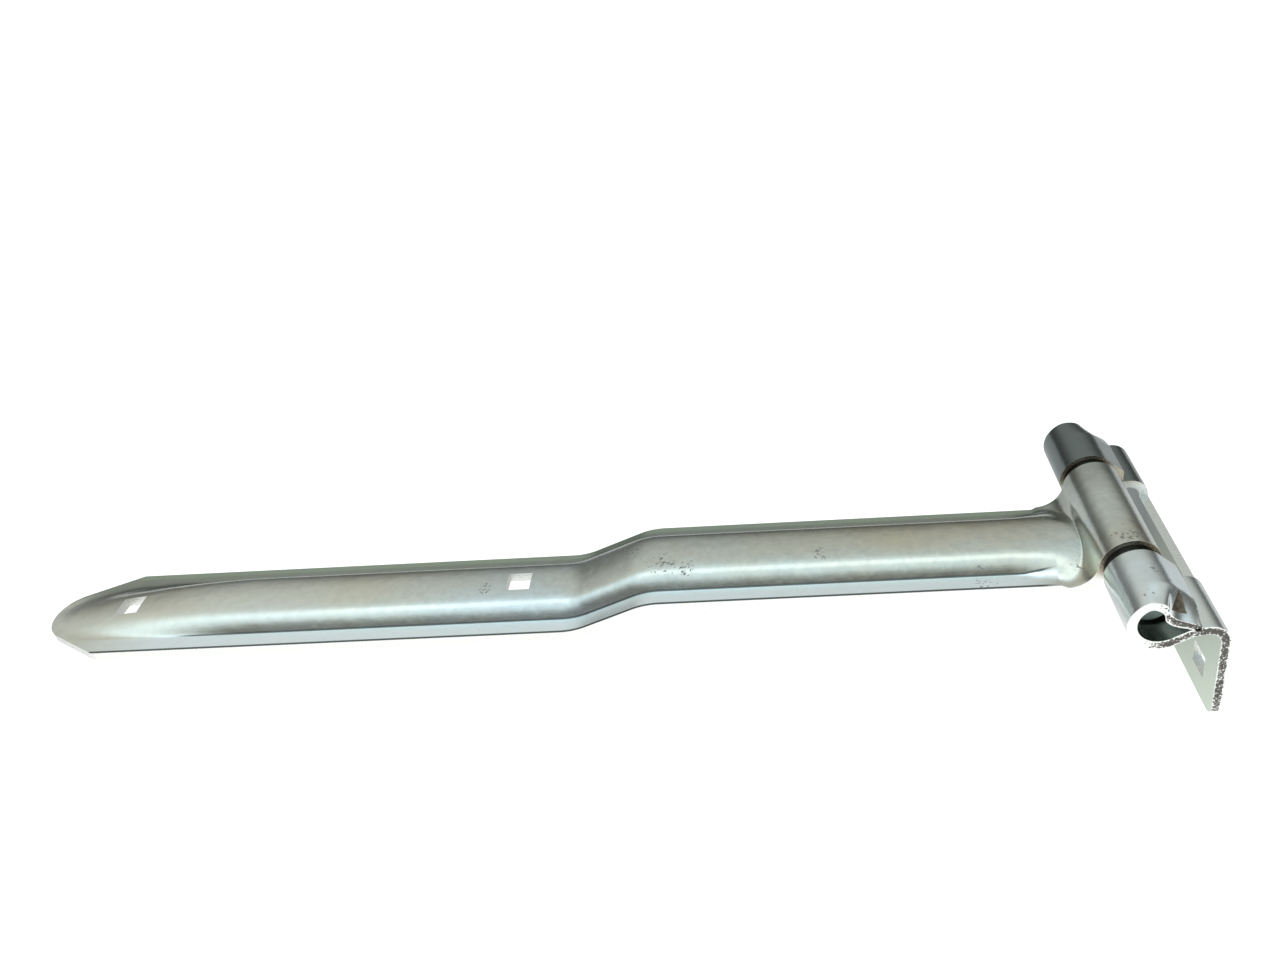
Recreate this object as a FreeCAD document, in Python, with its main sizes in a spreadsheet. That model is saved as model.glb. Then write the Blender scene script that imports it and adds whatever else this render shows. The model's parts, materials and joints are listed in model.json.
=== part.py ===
import FreeCAD, Part
import math
import os
import Sketcher

# A heavy T hinge pressed from sheet steel, in millimetres.
# A long crowned strap curls round a pin between the two knuckles of an angle bracket.
# The strap points to -X and its top faces +Z. The pin lies along Y.
# Every piece is drawn about the pin's axis and is then placed so that the origin is the
# middle of the bolt line on the outer face of the bracket's flange.

SIZES = [
    ("pin_diameter", 12.7, "half-inch bar"),
    ("pin_recess", 7.8, "each end of the bracket in to the pin's end"),
    ("pin_bevel", 0.8, "bevel round each end of the pin"),
    ("running_gap", 0.05, "radial clearance between the pin and both knuckles"),
    ("strap_sheet", 3.2, "sheet of the strap"),
    ("draw_share", 0.86, "share of the sheet's thickness left in the drawn sides"),
    ("strap_width", 40.0, "strap across its two flat edges"),
    ("knuckle_flare", 1.3, "how much the strap widens each side at its knuckle"),
    ("axis_height", 8.65, "pin axis above the top of the strap's flat edges"),
    ("wrap_angle", 308.0, "how far the strap's end is curled round the pin"),
    ("strap_reach", 369.0, "pin axis to the point of the strap"),
    ("taper_length", 23.5, "the strap's point back to where it starts to narrow"),
    ("nose_radius", 12.0, "rounding of the strap's point"),
    ("flare_lead", 1.75, "start of the curl back to where the strap widens"),
    ("joggle_depth", 10.5, "step between the two flat lengths of the strap"),
    ("joggle_reach", 153.8, "pin axis to the upper bend of the step"),
    ("joggle_run", 25.2, "length of the step along the strap"),
    ("joggle_radius", 24.0, "bend radius of the step, on the upper face"),
    ("crown_width", 27.2, "raised middle of the strap, at its foot"),
    ("crown_rise", 6.1, "height of the raised middle"),
    ("crown_roof", 46.0, "radius of the raised middle's gently rounded top"),
    ("crown_slope", 62.0, "angle of the raised middle's sides"),
    ("shoulder_share", 0.4, "part of the height that its rounded shoulders take"),
    ("fade_margin", 2.0, "the strap's point back to where the raised middle ends"),
    ("fade_length", 71.0, "length over which the raised middle sinks away"),
    ("strap_hole", 8.3, "square holes for the necks of carriage bolts"),
    ("tip_hole_back", 29.1, "the strap's point back to the outer square hole"),
    ("mid_hole_lead", 20.4, "foot of the step out to the inner square hole"),
    ("bracket_sheet", 3.0, "sheet of the bracket"),
    ("bracket_width", 95.6, "bracket along the pin"),
    ("window_gap", 3.9, "gap each side of the strap's knuckle in the bracket"),
    ("sill_gap", 1.6, "the strap's knuckle down to the window's lower edge"),
    ("seat_run", 8.9, "sheared free end to the outer face of the flange"),
    ("flange_leg", 39.7, "flange below the top of the seat"),
    ("flange_corner", 4.0, "rounding of the flange's two free corners"),
    ("flange_bend", 7.0, "outer bend radius between seat and flange"),
    ("seat_drop", 3.6, "pin axis down to the top of the seat"),
    ("seat_roll", 10.0, "bend radius where the seat dips under the knuckle"),
    ("dip_angle", 25.0, "slope of the dip"),
    ("dip_ease", 0.8, "extra inner radius of the dip under the pin"),
    ("lap_gap", 0.25, "sheared free end above the seat"),
    ("lap_angle", 45.0, "slope of the free end as it comes down on the seat"),
    ("crimp_clear", 0.2, "pin's end to where the knuckle ends are squeezed"),
    ("near_crimp", 1.0, "share of the full squeeze at the end with the punch mark"),
    ("far_crimp", 0.45, "share of the full squeeze at the other end"),
    ("punch_size", 3.9, "corner to middle of the three-sided punch"),
    ("punch_sink", 6.2, "bottom of the punch mark below the lap's unsqueezed face"),
    ("punch_reach", 4.9, "pin axis across to the punch mark"),
    ("punch_back", 3.2, "end of the bracket in to the punch mark"),
    ("punch_turn", 100.0, "turn of the punch about its own axis"),
    ("bolt_hole", 8.5, "square holes in the flange"),
    ("bolt_margin", 12.6, "each end of the bracket in to its square hole"),
    ("bolt_drop", 26.6, "top of the seat down to the square holes"),
    ("rest_swing", 5.6, "how far the bracket is turned open from square"),
]

# Sizes that follow from the ones above.
FOLLOWERS = [
    ("pin_bore", "pin_diameter / 2 + running_gap", "inner radius of every knuckle"),
    ("strap_barrel", "pin_bore + strap_sheet", "outer radius of the strap's knuckle"),
    ("knuckle_width", "strap_width + 2 * knuckle_flare", "strap's knuckle along the pin"),
    ("sweep_reach", "strap_barrel + axis_height", "pin axis to where the strap starts to curl"),
    ("flare_reach", "sweep_reach + flare_lead", "pin axis to where the strap widens"),
    ("taper_reach", "strap_reach - taper_length", "pin axis to where the strap narrows"),
    ("fade_reach", "strap_reach - fade_margin - fade_length", "pin axis to the sinking crown"),
    ("tip_hole_reach", "strap_reach - tip_hole_back", "pin axis to the outer square hole"),
    ("mid_hole_reach", "joggle_reach + joggle_run + mid_hole_lead", "to the inner square hole"),
    ("pin_length", "bracket_width - 2 * pin_recess", "pin from end to end"),
    ("crimp_start", "pin_length / 2 + crimp_clear", "middle of the pin to the squeeze"),
    ("window_width", "knuckle_width + 2 * window_gap", "opening for the strap's knuckle"),
    ("window_sill", "strap_barrel + sill_gap", "pin axis down to the opening's lower edge"),
    ("dip_radius", "pin_bore + dip_ease", "inner radius of the dip under the pin"),
    ("lap_reach", "(pin_bore / cos(lap_angle) + seat_drop - lap_gap) / tan(lap_angle)",
     "pin axis to the sheared free end"),
    ("flange_face", "lap_reach + seat_run", "pin axis to the outer face of the flange"),
    ("bolt_spacing", "bracket_width - 2 * bolt_margin", "between the flange's square holes"),
    ("punch_place", "bracket_width / 2 - punch_back", "middle of the pin to the punch mark"),
]

DOC = FreeCAD.newDocument("t_hinge")
SHEET = DOC.addObject("Spreadsheet::Sheet", "sizes")
ROWS = SIZES + [(alias, "=" + formula, note) for alias, formula, note in FOLLOWERS]
for row, (alias, value, note) in enumerate(ROWS, start=1):
    SHEET.set("A%d" % row, alias)
    SHEET.set("B%d" % row, str(value))
    SHEET.set("C%d" % row, note)
    SHEET.setAlias("B%d" % row, alias)
DOC.recompute()

# Where along its sinking length the raised middle has a section, from 0 to 1.
FADE_SHARES = (0.15, 0.3, 0.45, 0.6, 0.72, 0.84, 0.92, 0.98)

# How far a full squeeze moves each point of the knuckle's cross-section, right and down.
CRIMP_MOVES = {
    "left_out": (-0.35, 0.3), "left_in": (-0.3, 0.3),
    "top_out": (-0.6, 1.3), "top_in": (-0.8, 1.3),
    "right_out": (-1.7, 2.4), "right_in": (-1.4, 2.6),
    "side_out": (-3.4, 4.0), "side_in": (-2.3, 4.6),
    "knee_out": (-1.0, 3.9), "knee_in": (-0.2, 3.75),
}
KNEE_BACK = 3.4   # free end back to the bend that a squeeze makes in it
END_SINK = 0.8    # share of the sheet by which a full squeeze lowers the free end's top edge

UPRIGHT = FreeCAD.Rotation(FreeCAD.Vector(1, 0, 0), 90)   # sketch x, y become X, Z
ACROSS = FreeCAD.Rotation(FreeCAD.Vector(1, 1, 1), 120)   # sketch x, y become Y, Z
ALONG_Y = FreeCAD.Rotation(FreeCAD.Vector(1, 0, 0), -90)  # a cylinder's axis becomes Y


def size(alias):
    return float(getattr(SHEET, alias))


def vec(x, y):
    return FreeCAD.Vector(x, y, 0)


def polar(angle, radius, centre=(0.0, 0.0)):
    turn = math.radians(angle)
    return vec(centre[0] + radius * math.cos(turn), centre[1] + radius * math.sin(turn))


def add(kind, name, bindings=None, **properties):
    """A document object with plain properties and spreadsheet bindings."""
    item = DOC.addObject(kind, name)
    for key, value in properties.items():
        setattr(item, key, value)
    for key, formula in (bindings or {}).items():
        item.setExpression(key, formula)
    return item


def line(sketch, start, end):
    return sketch.addGeometry(Part.LineSegment(start, end), False)


def arc(sketch, centre, radius, low, high):
    """An anticlockwise arc between two angles in degrees."""
    circle = Part.Circle(FreeCAD.Vector(centre[0], centre[1], 0), FreeCAD.Vector(0, 0, 1), radius)
    return sketch.addGeometry(
        Part.ArcOfCircle(circle, math.radians(low), math.radians(high)), False)


def tie(sketch, *arguments, formula=None):
    """One sketch constraint, bound to the spreadsheet if it has a formula."""
    index = sketch.addConstraint(Sketcher.Constraint(*arguments))
    if formula:
        sketch.setExpression("Constraints[%d]" % index, formula)
    return index


def sheet_from(name, chain, thickness, width):
    """A strip of sheet whose one face follows a chain of lines and arcs."""
    outline = add("Part::Offset2D", name + "_outline", {"Value": thickness},
                  Source=chain, Mode="Skin", Join="Arc", Fill=True)
    return add("Part::Extrusion", name, {"LengthFwd": width},
               Base=outline, DirMode="Normal", Symmetric=True, Solid=True)


def box(name, corner, lengths):
    """A box given by formulas for its low corner and its three lengths."""
    bindings = dict(zip(("Length", "Width", "Height"), lengths))
    for axis, formula in zip("xyz", corner):
        bindings[".Placement.Base." + axis] = formula
    return add("Part::Box", name, bindings)


def rod(name, radius, length, centre_x="0"):
    """A round bar along Y, centred on the middle of the pin."""
    item = add("Part::Cylinder", name,
               {"Radius": radius, "Height": length,
                ".Placement.Base.x": centre_x, ".Placement.Base.y": "-(%s) / 2" % length})
    item.Placement.Rotation = ALONG_Y
    return item


def cut(name, base, tools):
    gathered = add("Part::MultiFuse", name + "_tools", Shapes=tools) if len(tools) > 1 else tools[0]
    return add("Part::Cut", name, Base=base, Tool=gathered)


# ---------------------------------------------------------------- strap leaf


def strap_side_chain():
    """The strap's upper face seen from the side: two flats, the step, the curl."""
    sketch = add("Sketcher::SketchObject", "strap_side")
    sketch.Placement = FreeCAD.Placement(FreeCAD.Vector(), UPRIGHT)
    height = size("axis_height")
    low = height + size("joggle_depth")
    radius = size("joggle_radius")
    outer = size("strap_barrel")
    sweep_x = -size("sweep_reach")
    slope = math.degrees(math.atan2(size("joggle_depth"), size("joggle_run")))
    tangent = radius * math.tan(math.radians(slope / 2))
    upper_x = -size("joggle_reach")
    lower_x = upper_x - size("joggle_run")
    lower_centre = (lower_x - tangent, radius - low)
    upper_centre = (upper_x + tangent, -height - radius)
    tail = size("strap_reach") + size("nose_radius")
    flat_low = line(sketch, vec(-tail, -low), vec(lower_centre[0], -low))
    bend_low = arc(sketch, lower_centre, radius, 270, 270 + slope)
    step = line(sketch, polar(270 + slope, radius, lower_centre),
                polar(90 + slope, radius, upper_centre))
    bend_high = arc(sketch, upper_centre, radius, 90, 90 + slope)
    flat_high = line(sketch, vec(upper_centre[0], -height), vec(sweep_x, -height))
    sweep = arc(sketch, (sweep_x, 0), height, 270, 360)
    curl = arc(sketch, (0, 0), outer, 180 - size("wrap_angle"), 180)
    tie(sketch, "Coincident", curl, 3, -1, 1)
    tie(sketch, "Horizontal", flat_low)
    tie(sketch, "Tangent", flat_low, 2, bend_low, 1)
    tie(sketch, "Tangent", bend_low, 2, step, 1)
    tie(sketch, "Tangent", step, 2, bend_high, 2)
    tie(sketch, "Tangent", bend_high, 1, flat_high, 1)
    tie(sketch, "Horizontal", flat_high)
    tie(sketch, "Tangent", flat_high, 2, sweep, 1)
    tie(sketch, "Tangent", sweep, 2, curl, 2)
    tie(sketch, "PointOnObject", sweep, 3, -1)
    tie(sketch, "Equal", bend_low, bend_high)
    tie(sketch, "Radius", bend_low, radius, formula="sizes.joggle_radius")
    tie(sketch, "Radius", sweep, height, formula="sizes.axis_height")
    tie(sketch, "Radius", curl, outer, formula="sizes.strap_barrel")
    tie(sketch, "DistanceY", flat_low, 1, -1, 1, low,
        formula="sizes.axis_height + sizes.joggle_depth")
    tie(sketch, "DistanceX", flat_low, 1, -1, 1, tail,
        formula="sizes.strap_reach + sizes.nose_radius")
    return sketch


def strap_plan():
    """The strap's outline from above: rounded point, parallel edges, wider knuckle."""
    sketch = add("Sketcher::SketchObject", "strap_plan")
    half = size("strap_width") / 2
    wide = size("knuckle_width") / 2
    nose = size("nose_radius")
    centre = (nose - size("strap_reach"), 0)
    shoulder_x = -size("taper_reach")
    run = shoulder_x - centre[0]
    lean = math.degrees(math.atan2(half, run) + math.acos(nose / math.hypot(run, half)))
    flare = -size("flare_reach")
    root = flare + size("knuckle_width") - size("strap_width")
    right = size("axis_height") + size("pin_diameter")
    arc(sketch, centre, nose, lean, 360 - lean)
    near = [polar(360 - lean, nose, centre), vec(shoulder_x, -half), vec(flare, -half),
            vec(root, -wide), vec(right, -wide)]
    far = [vec(point.x, -point.y) for point in reversed(near)]
    corners = near + far
    for start, end in zip(corners, corners[1:]):
        line(sketch, start, end)
    last = len(corners) - 1
    tie(sketch, "Tangent", 0, 2, 1, 1)
    for index in range(1, last):
        tie(sketch, "Coincident", index, 2, index + 1, 1)
    tie(sketch, "Tangent", last, 2, 0, 1)
    tie(sketch, "PointOnObject", 0, 3, -1)
    for index in (2, 4, 6, 8):
        tie(sketch, "Horizontal", index)
    tie(sketch, "Radius", 0, nose, formula="sizes.nose_radius")
    tie(sketch, "DistanceX", 0, 3, -1, 1, -centre[0], formula="sizes.strap_reach - sizes.nose_radius")
    tie(sketch, "DistanceY", 2, 1, 8, 2, 2 * half, formula="sizes.strap_width")
    tie(sketch, "DistanceY", 4, 1, 6, 2, 2 * wide, formula="sizes.knuckle_width")
    return sketch


def crown_section(name, reach, level, width, rise, drop, narrowing=1.0, sinking=1.0):
    """A cross-section of the raised middle: foot, sloping sides, round shoulders, roof.

    reach and level place it, width and rise are the full ones, and it goes down to drop
    below its foot. narrowing and sinking are the shares of the width and rise that are left.
    """
    sketch = add("Sketcher::SketchObject", name)
    sketch.Placement = FreeCAD.Placement(FreeCAD.Vector(-reach, 0, level), ACROSS)
    half = width / 2 * narrowing
    rise = rise * sinking
    roof = size("crown_roof") * narrowing ** 2 / sinking
    slope = math.atan(math.tan(math.radians(size("crown_slope"))) * sinking / narrowing)
    shoulder = size("shoulder_share") * rise / (1 - math.cos(slope))
    along = vec(-math.cos(slope), math.sin(slope))
    inward = vec(-math.sin(slope), -math.cos(slope))
    start = vec(half, 0) + inward * shoulder
    middle = vec(0, rise - roof)
    gap = start - middle
    reach_sum = gap.dot(along)
    travel = -reach_sum + math.sqrt(reach_sum ** 2 - gap.dot(gap) + (roof - shoulder) ** 2)
    centre = start + along * travel
    foot_end = vec(half, 0) + along * travel
    roof_angle = math.degrees(math.atan2(centre.y - middle.y, centre.x))
    side_angle = 90 - math.degrees(slope)
    line(sketch, vec(-half, -drop), vec(half, -drop))
    line(sketch, vec(half, -drop), vec(half, 0))
    line(sketch, vec(half, 0), foot_end)
    arc(sketch, (centre.x, centre.y), shoulder, side_angle, roof_angle)
    arc(sketch, (middle.x, middle.y), roof, roof_angle, 180 - roof_angle)
    arc(sketch, (-centre.x, centre.y), shoulder, 180 - roof_angle, 180 - side_angle)
    line(sketch, vec(-foot_end.x, foot_end.y), vec(-half, 0))
    line(sketch, vec(-half, 0), vec(-half, -drop))
    for first, second in ((0, 1), (1, 2), (6, 7), (7, 0)):
        tie(sketch, "Coincident", first, 2, second, 1)
    for first, second in ((2, 3), (3, 4), (4, 5), (5, 6)):
        tie(sketch, "Tangent", first, 2, second, 1)
    tie(sketch, "Symmetric", 0, 1, 0, 2, -2)
    tie(sketch, "Equal", 3, 5)
    tie(sketch, "DistanceX", 0, 1, 0, 2, 2 * half)
    tie(sketch, "Radius", 4, roof)
    return sketch


def crown_pieces(name, inset, drop, finish):
    """The raised middle from the strap's point to finish, or its hollow if inset by the sheet."""
    height = size("axis_height") + inset
    low = height + size("joggle_depth")
    side_inset = size("draw_share") * inset
    width = size("crown_width") - 2 * side_inset
    rise = size("crown_rise")
    slope = math.degrees(math.atan2(size("joggle_depth"), size("joggle_run")))
    radius = size("joggle_radius")
    tangent = radius * math.tan(math.radians(slope / 2))
    upper_x = -size("joggle_reach")
    lower_x = upper_x - size("joggle_run")
    lower_centre = (lower_x - tangent, radius + inset - low)
    upper_centre = (upper_x + tangent, -height - radius + inset)
    full = crown_section(name + "_section", size("fade_reach"), -low, width, rise, drop)
    path = add("Sketcher::SketchObject", name + "_path")
    path.Placement = FreeCAD.Placement(FreeCAD.Vector(), UPRIGHT)
    line(path, vec(-size("fade_reach"), -low), vec(lower_centre[0], -low))
    arc(path, lower_centre, radius + inset, 270, 270 + slope)
    line(path, polar(270 + slope, radius + inset, lower_centre),
         polar(90 + slope, radius - inset, upper_centre))
    arc(path, upper_centre, radius - inset, 90, 90 + slope)
    line(path, vec(upper_centre[0], -height), vec(finish, -height))
    for first, end, second, start in ((0, 2, 1, 1), (1, 2, 2, 1), (2, 2, 3, 2), (3, 1, 4, 1)):
        tie(path, "Tangent", first, end, second, start)
    tie(path, "Horizontal", 0)
    run = add("Part::Sweep", name + "_run", Sections=[full], Solid=True,
              Spine=(path, ["Edge%d" % count for count in range(1, 6)]))
    sections = [full]
    for count, share in enumerate(FADE_SHARES):
        sections.append(crown_section("%s_fade_%d" % (name, count),
                                      size("fade_reach") + share * size("fade_length"), -low,
                                      width, rise, drop, math.sqrt(1 - share ** 4),
                                      math.cos(share * math.pi / 2)))
    fade = add("Part::Loft", name + "_fade", Sections=sections, Solid=True, Ruled=True)
    return [run, fade]


def strap_leaf():
    """Flat strip with its curl, trimmed in plan, pressed up in the middle and punched."""
    sweep_x = -size("sweep_reach")
    strip = sheet_from("strap_strip", strap_side_chain(), "-sizes.strap_sheet",
                       "sizes.knuckle_width")
    plan = add("Part::Extrusion", "strap_blank",
               {"LengthFwd": "4 * (sizes.axis_height + sizes.joggle_depth + sizes.strap_sheet)"},
               Base=strap_plan(), DirMode="Normal", Symmetric=True, Solid=True)
    raised = crown_pieces("crown", 0.0, size("strap_sheet") / 2, sweep_x)
    root = add("Part::Extrusion", "crown_root_block",
               {"LengthFwd": "sizes.axis_height + sizes.strap_sheet / 2"},
               Base=crown_section("crown_root_section", -sweep_x, -size("axis_height"),
                                  size("crown_width"), size("crown_rise"), size("strap_sheet") / 2),
               DirMode="Custom", Dir=FreeCAD.Vector(1, 0, 0), Solid=True)
    sweep = rod("sweep_underside", "sizes.axis_height + sizes.strap_sheet", "sizes.knuckle_width",
                "-sizes.sweep_reach")
    root_trim = add("Part::Common", "crown_root", Base=root, Tool=sweep)
    pressed = add("Part::MultiFuse", "strap_pressed", Shapes=[strip, root_trim] + raised)
    trimmed = add("Part::Common", "strap_trimmed", Base=pressed, Tool=plan)
    hollow = crown_pieces("hollow", size("strap_sheet"), size("strap_sheet"), sweep_x + size("strap_sheet"))
    holes = []
    for name in ("tip_hole", "mid_hole"):
        holes.append(box(name, ("-sizes.%s_reach - sizes.strap_hole / 2" % name,
                                "-sizes.strap_hole / 2",
                                "-2 * (sizes.axis_height + sizes.joggle_depth)"),
                         ("sizes.strap_hole", "sizes.strap_hole",
                          "2 * (sizes.axis_height + sizes.joggle_depth)")))
    return cut("strap_leaf", trimmed, hollow + holes)


# ------------------------------------------------------------- frame bracket


def bracket_chain(name, high_start, with_lap):
    """The bracket's pin side seen from the side: flange, seat, dip, knuckle and lap."""
    sketch = add("Sketcher::SketchObject", name)
    sketch.Placement = FreeCAD.Placement(FreeCAD.Vector(), UPRIGHT)
    inner = size("pin_bore")
    face = size("flange_face")
    bend = size("flange_bend")
    seat = -size("seat_drop")
    roll = size("seat_roll")
    dip = size("dip_radius")
    dip_centre = (dip - inner, 0)
    dip_angle = size("dip_angle")
    low_point = polar(270 + dip_angle, dip, dip_centre)
    rise_left = seat - roll * (1 - math.cos(math.radians(dip_angle))) - low_point.y
    roll_end_x = low_point.x + rise_left / math.tan(math.radians(dip_angle))
    roll_centre = (roll_end_x + roll * math.sin(math.radians(dip_angle)), seat - roll)
    bend_centre = (face - bend, seat - bend)
    flange = line(sketch, vec(face, seat - size("flange_leg")), vec(face, bend_centre[1]))
    corner = arc(sketch, bend_centre, bend, 0, 90)
    top = line(sketch, vec(bend_centre[0], seat), vec(roll_centre[0], seat))
    rolled = arc(sketch, roll_centre, roll, 90, 90 + dip_angle)
    slide = line(sketch, polar(90 + dip_angle, roll, roll_centre), low_point)
    under = arc(sketch, dip_centre, dip, 180, 270 + dip_angle)
    knuckle = arc(sketch, (0, 0), inner, high_start, 180)
    for first, end, second, start in ((flange, 2, corner, 1), (corner, 2, top, 1),
                                      (top, 2, rolled, 1), (rolled, 2, slide, 1),
                                      (slide, 2, under, 2), (under, 1, knuckle, 2)):
        tie(sketch, "Tangent", first, end, second, start)
    tie(sketch, "Coincident", knuckle, 3, -1, 1)
    tie(sketch, "PointOnObject", under, 3, -1)
    tie(sketch, "Vertical", flange)
    tie(sketch, "Horizontal", top)
    tie(sketch, "Radius", corner, bend, formula="sizes.flange_bend")
    tie(sketch, "Radius", rolled, roll, formula="sizes.seat_roll")
    tie(sketch, "Radius", under, dip, formula="sizes.dip_radius")
    tie(sketch, "Radius", knuckle, inner, formula="sizes.pin_bore")
    tie(sketch, "DistanceX", -1, 1, flange, 1, face, formula="sizes.flange_face")
    tie(sketch, "DistanceY", top, 1, -1, 1, -seat, formula="sizes.seat_drop")
    tie(sketch, "DistanceY", flange, 1, -1, 1, size("flange_leg") - seat,
        formula="sizes.flange_leg + sizes.seat_drop")
    if with_lap:
        touch = polar(high_start, inner)
        drop = (size("lap_reach") - touch.x) * math.tan(math.radians(size("lap_angle")))
        lap = line(sketch, touch, vec(size("lap_reach"), touch.y - drop))
        tie(sketch, "Tangent", knuckle, 1, lap, 1)
    return sketch


def lap_level(radius, reach):
    """Height of the sloping free end at a distance from the pin, for one face's radius."""
    slope = math.radians(size("lap_angle"))
    return radius / math.cos(slope) - reach * math.tan(slope)


def lap_section(name, along, squeeze):
    """The free end's cross-section at one place along the pin.

    squeeze 0 leaves the round knuckle, and 1 presses it right down on the seat.
    """
    sketch = add("Sketcher::SketchObject", name)
    sketch.Placement = FreeCAD.Placement(FreeCAD.Vector(0, along, 0), UPRIGHT)
    inner = size("pin_bore")
    outer = inner + size("bracket_sheet")
    reach = size("lap_reach")
    end_top = lap_level(outer, reach)
    end_low = lap_level(inner, reach)
    side = 90 - size("lap_angle")
    knee = reach - KNEE_BACK

    def pressed(point, name):
        right, down = CRIMP_MOVES[name]
        return vec(point.x + right * squeeze, point.y - down * squeeze)

    root_out = polar(135, outer)
    root_in = polar(135, inner)
    top_out = pressed(polar(90, outer), "top_out")
    top_in = pressed(polar(90, inner), "top_in")
    side_out = pressed(polar(side, outer), "side_out")
    side_in = pressed(polar(side, inner), "side_in")
    knee_out = pressed(vec(knee, lap_level(outer, knee)), "knee_out")
    knee_in = pressed(vec(knee, lap_level(inner, knee)), "knee_in")
    end_out = vec(reach, end_top - END_SINK * size("bracket_sheet") * squeeze)
    end_in = vec(reach, end_low)
    bulge_out = [pressed(polar(112.5, outer), "left_out"),
                 pressed(polar((90 + side) / 2, outer), "right_out")]
    bulge_in = [pressed(polar(112.5, inner), "left_in"),
                pressed(polar((90 + side) / 2, inner), "right_in")]
    line(sketch, root_in, root_out)
    for start, through, end in ((root_out, bulge_out[0], top_out), (top_out, bulge_out[1], side_out)):
        sketch.addGeometry(Part.Arc(start, through, end), False)
    for start, end in ((side_out, knee_out), (knee_out, end_out), (end_out, end_in),
                       (end_in, knee_in), (knee_in, side_in)):
        line(sketch, start, end)
    for start, through, end in ((side_in, bulge_in[1], top_in), (top_in, bulge_in[0], root_in)):
        sketch.addGeometry(Part.Arc(start, through, end), False)
    return sketch


def frame_bracket():
    """Angle bracket: flange, seat and two knuckles with crimped ends, from one sheet."""
    lower = sheet_from("bracket_lower", bracket_chain("bracket_lower_side", 135, False),
                       "sizes.bracket_sheet", "sizes.bracket_width")
    whole = sheet_from("bracket_whole", bracket_chain("bracket_whole_side", 90 - size("lap_angle"), True),
                       "sizes.bracket_sheet", "2 * sizes.crimp_start")
    beyond = box("lap_offcut",
                 ("sizes.lap_reach", "-sizes.crimp_start", "-sizes.seat_drop"),
                 ("2 * sizes.flange_face", "2 * sizes.crimp_start", "sizes.pin_diameter"))
    middle = cut("bracket_middle", whole, [beyond])
    ends = []
    half = size("bracket_width") / 2
    for name, side in (("near", -1), ("far", 1)):
        sections = [lap_section(name + "_lap_start", side * size("crimp_start"), 0.0),
                    lap_section(name + "_lap_end", side * half, size(name + "_crimp"))]
        ends.append(add("Part::Loft", name + "_lap", Sections=sections, Solid=True, Ruled=True))
    joined = add("Part::MultiFuse", "bracket_joined", Shapes=[lower, middle] + ends)
    window = box("window",
                 ("-2 * sizes.pin_diameter", "-sizes.window_width / 2", "-sizes.window_sill"),
                 ("4 * sizes.pin_diameter + sizes.flange_face", "sizes.window_width",
                  "2 * sizes.window_sill + sizes.pin_diameter"))
    holes = []
    for name, sign in (("near_bolt_hole", "-"), ("far_bolt_hole", "")):
        holes.append(box(name, ("sizes.flange_face - 2 * sizes.bracket_sheet",
                                sign + "sizes.bolt_spacing / 2 - sizes.bolt_hole / 2",
                                "-sizes.seat_drop - sizes.bolt_drop - sizes.bolt_hole / 2"),
                         ("3 * sizes.bracket_sheet", "sizes.bolt_hole", "sizes.bolt_hole")))
    punched = cut("bracket_punched", joined, [window, punch_mark()] + holes)
    corners = flange_corners(punched)
    rounded = add("Part::Fillet", "frame_bracket", Base=punched)
    rounded.Edges = [(number, size("flange_corner"), size("flange_corner")) for number in corners]
    return rounded


def punch_mark():
    """A three-sided punch driven into the lap over the pin's end."""
    mark = add("Part::Prism", "punch", {"Circumradius": "sizes.punch_size"}, Polygon=3)
    mark.Height = size("pin_diameter")
    level = lap_level(size("pin_bore") + size("bracket_sheet"), size("punch_reach"))
    mark.Placement = FreeCAD.Placement(
        FreeCAD.Vector(size("punch_reach"), -size("punch_place"), level - size("punch_sink")),
        FreeCAD.Rotation(FreeCAD.Vector(0, 1, 0), size("lap_angle"))
        * FreeCAD.Rotation(FreeCAD.Vector(0, 0, 1), size("punch_turn")))
    return mark


def flange_corners(item):
    """Numbers of the two short edges across the flange's free corners."""
    DOC.recompute()
    bottom = -size("seat_drop") - size("flange_leg")
    found = []
    for number, edge in enumerate(item.Shape.Edges, start=1):
        middle = edge.CenterOfMass
        if abs(middle.z - bottom) < 0.01 and edge.Length < 1.1 * size("bracket_sheet"):
            found.append(number)
    return found


# ---------------------------------------------------------------- hinge pin


def hinge_pin():
    """A plain round bar with bevelled ends."""
    bar = rod("pin_bar", "sizes.pin_diameter / 2", "sizes.pin_length")
    DOC.recompute()
    rims = [number for number, edge in enumerate(bar.Shape.Edges, start=1) if edge.Closed]
    pin = add("Part::Chamfer", "hinge_pin", Base=bar)
    pin.Edges = [(number, size("pin_bevel"), size("pin_bevel")) for number in rims]
    return pin


# ------------------------------------------------------------------ assembly


def pin_axis():
    """The pin's axis seen from the middle of the bolt line on the swung flange."""
    swing = FreeCAD.Rotation(FreeCAD.Vector(0, -1, 0), size("rest_swing"))
    bolt_line = swing.multVec(FreeCAD.Vector(
        size("flange_face"), 0, -size("seat_drop") - size("bolt_drop")))
    return FreeCAD.Vector(-bolt_line.x, -bolt_line.y, -bolt_line.z), swing


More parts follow.
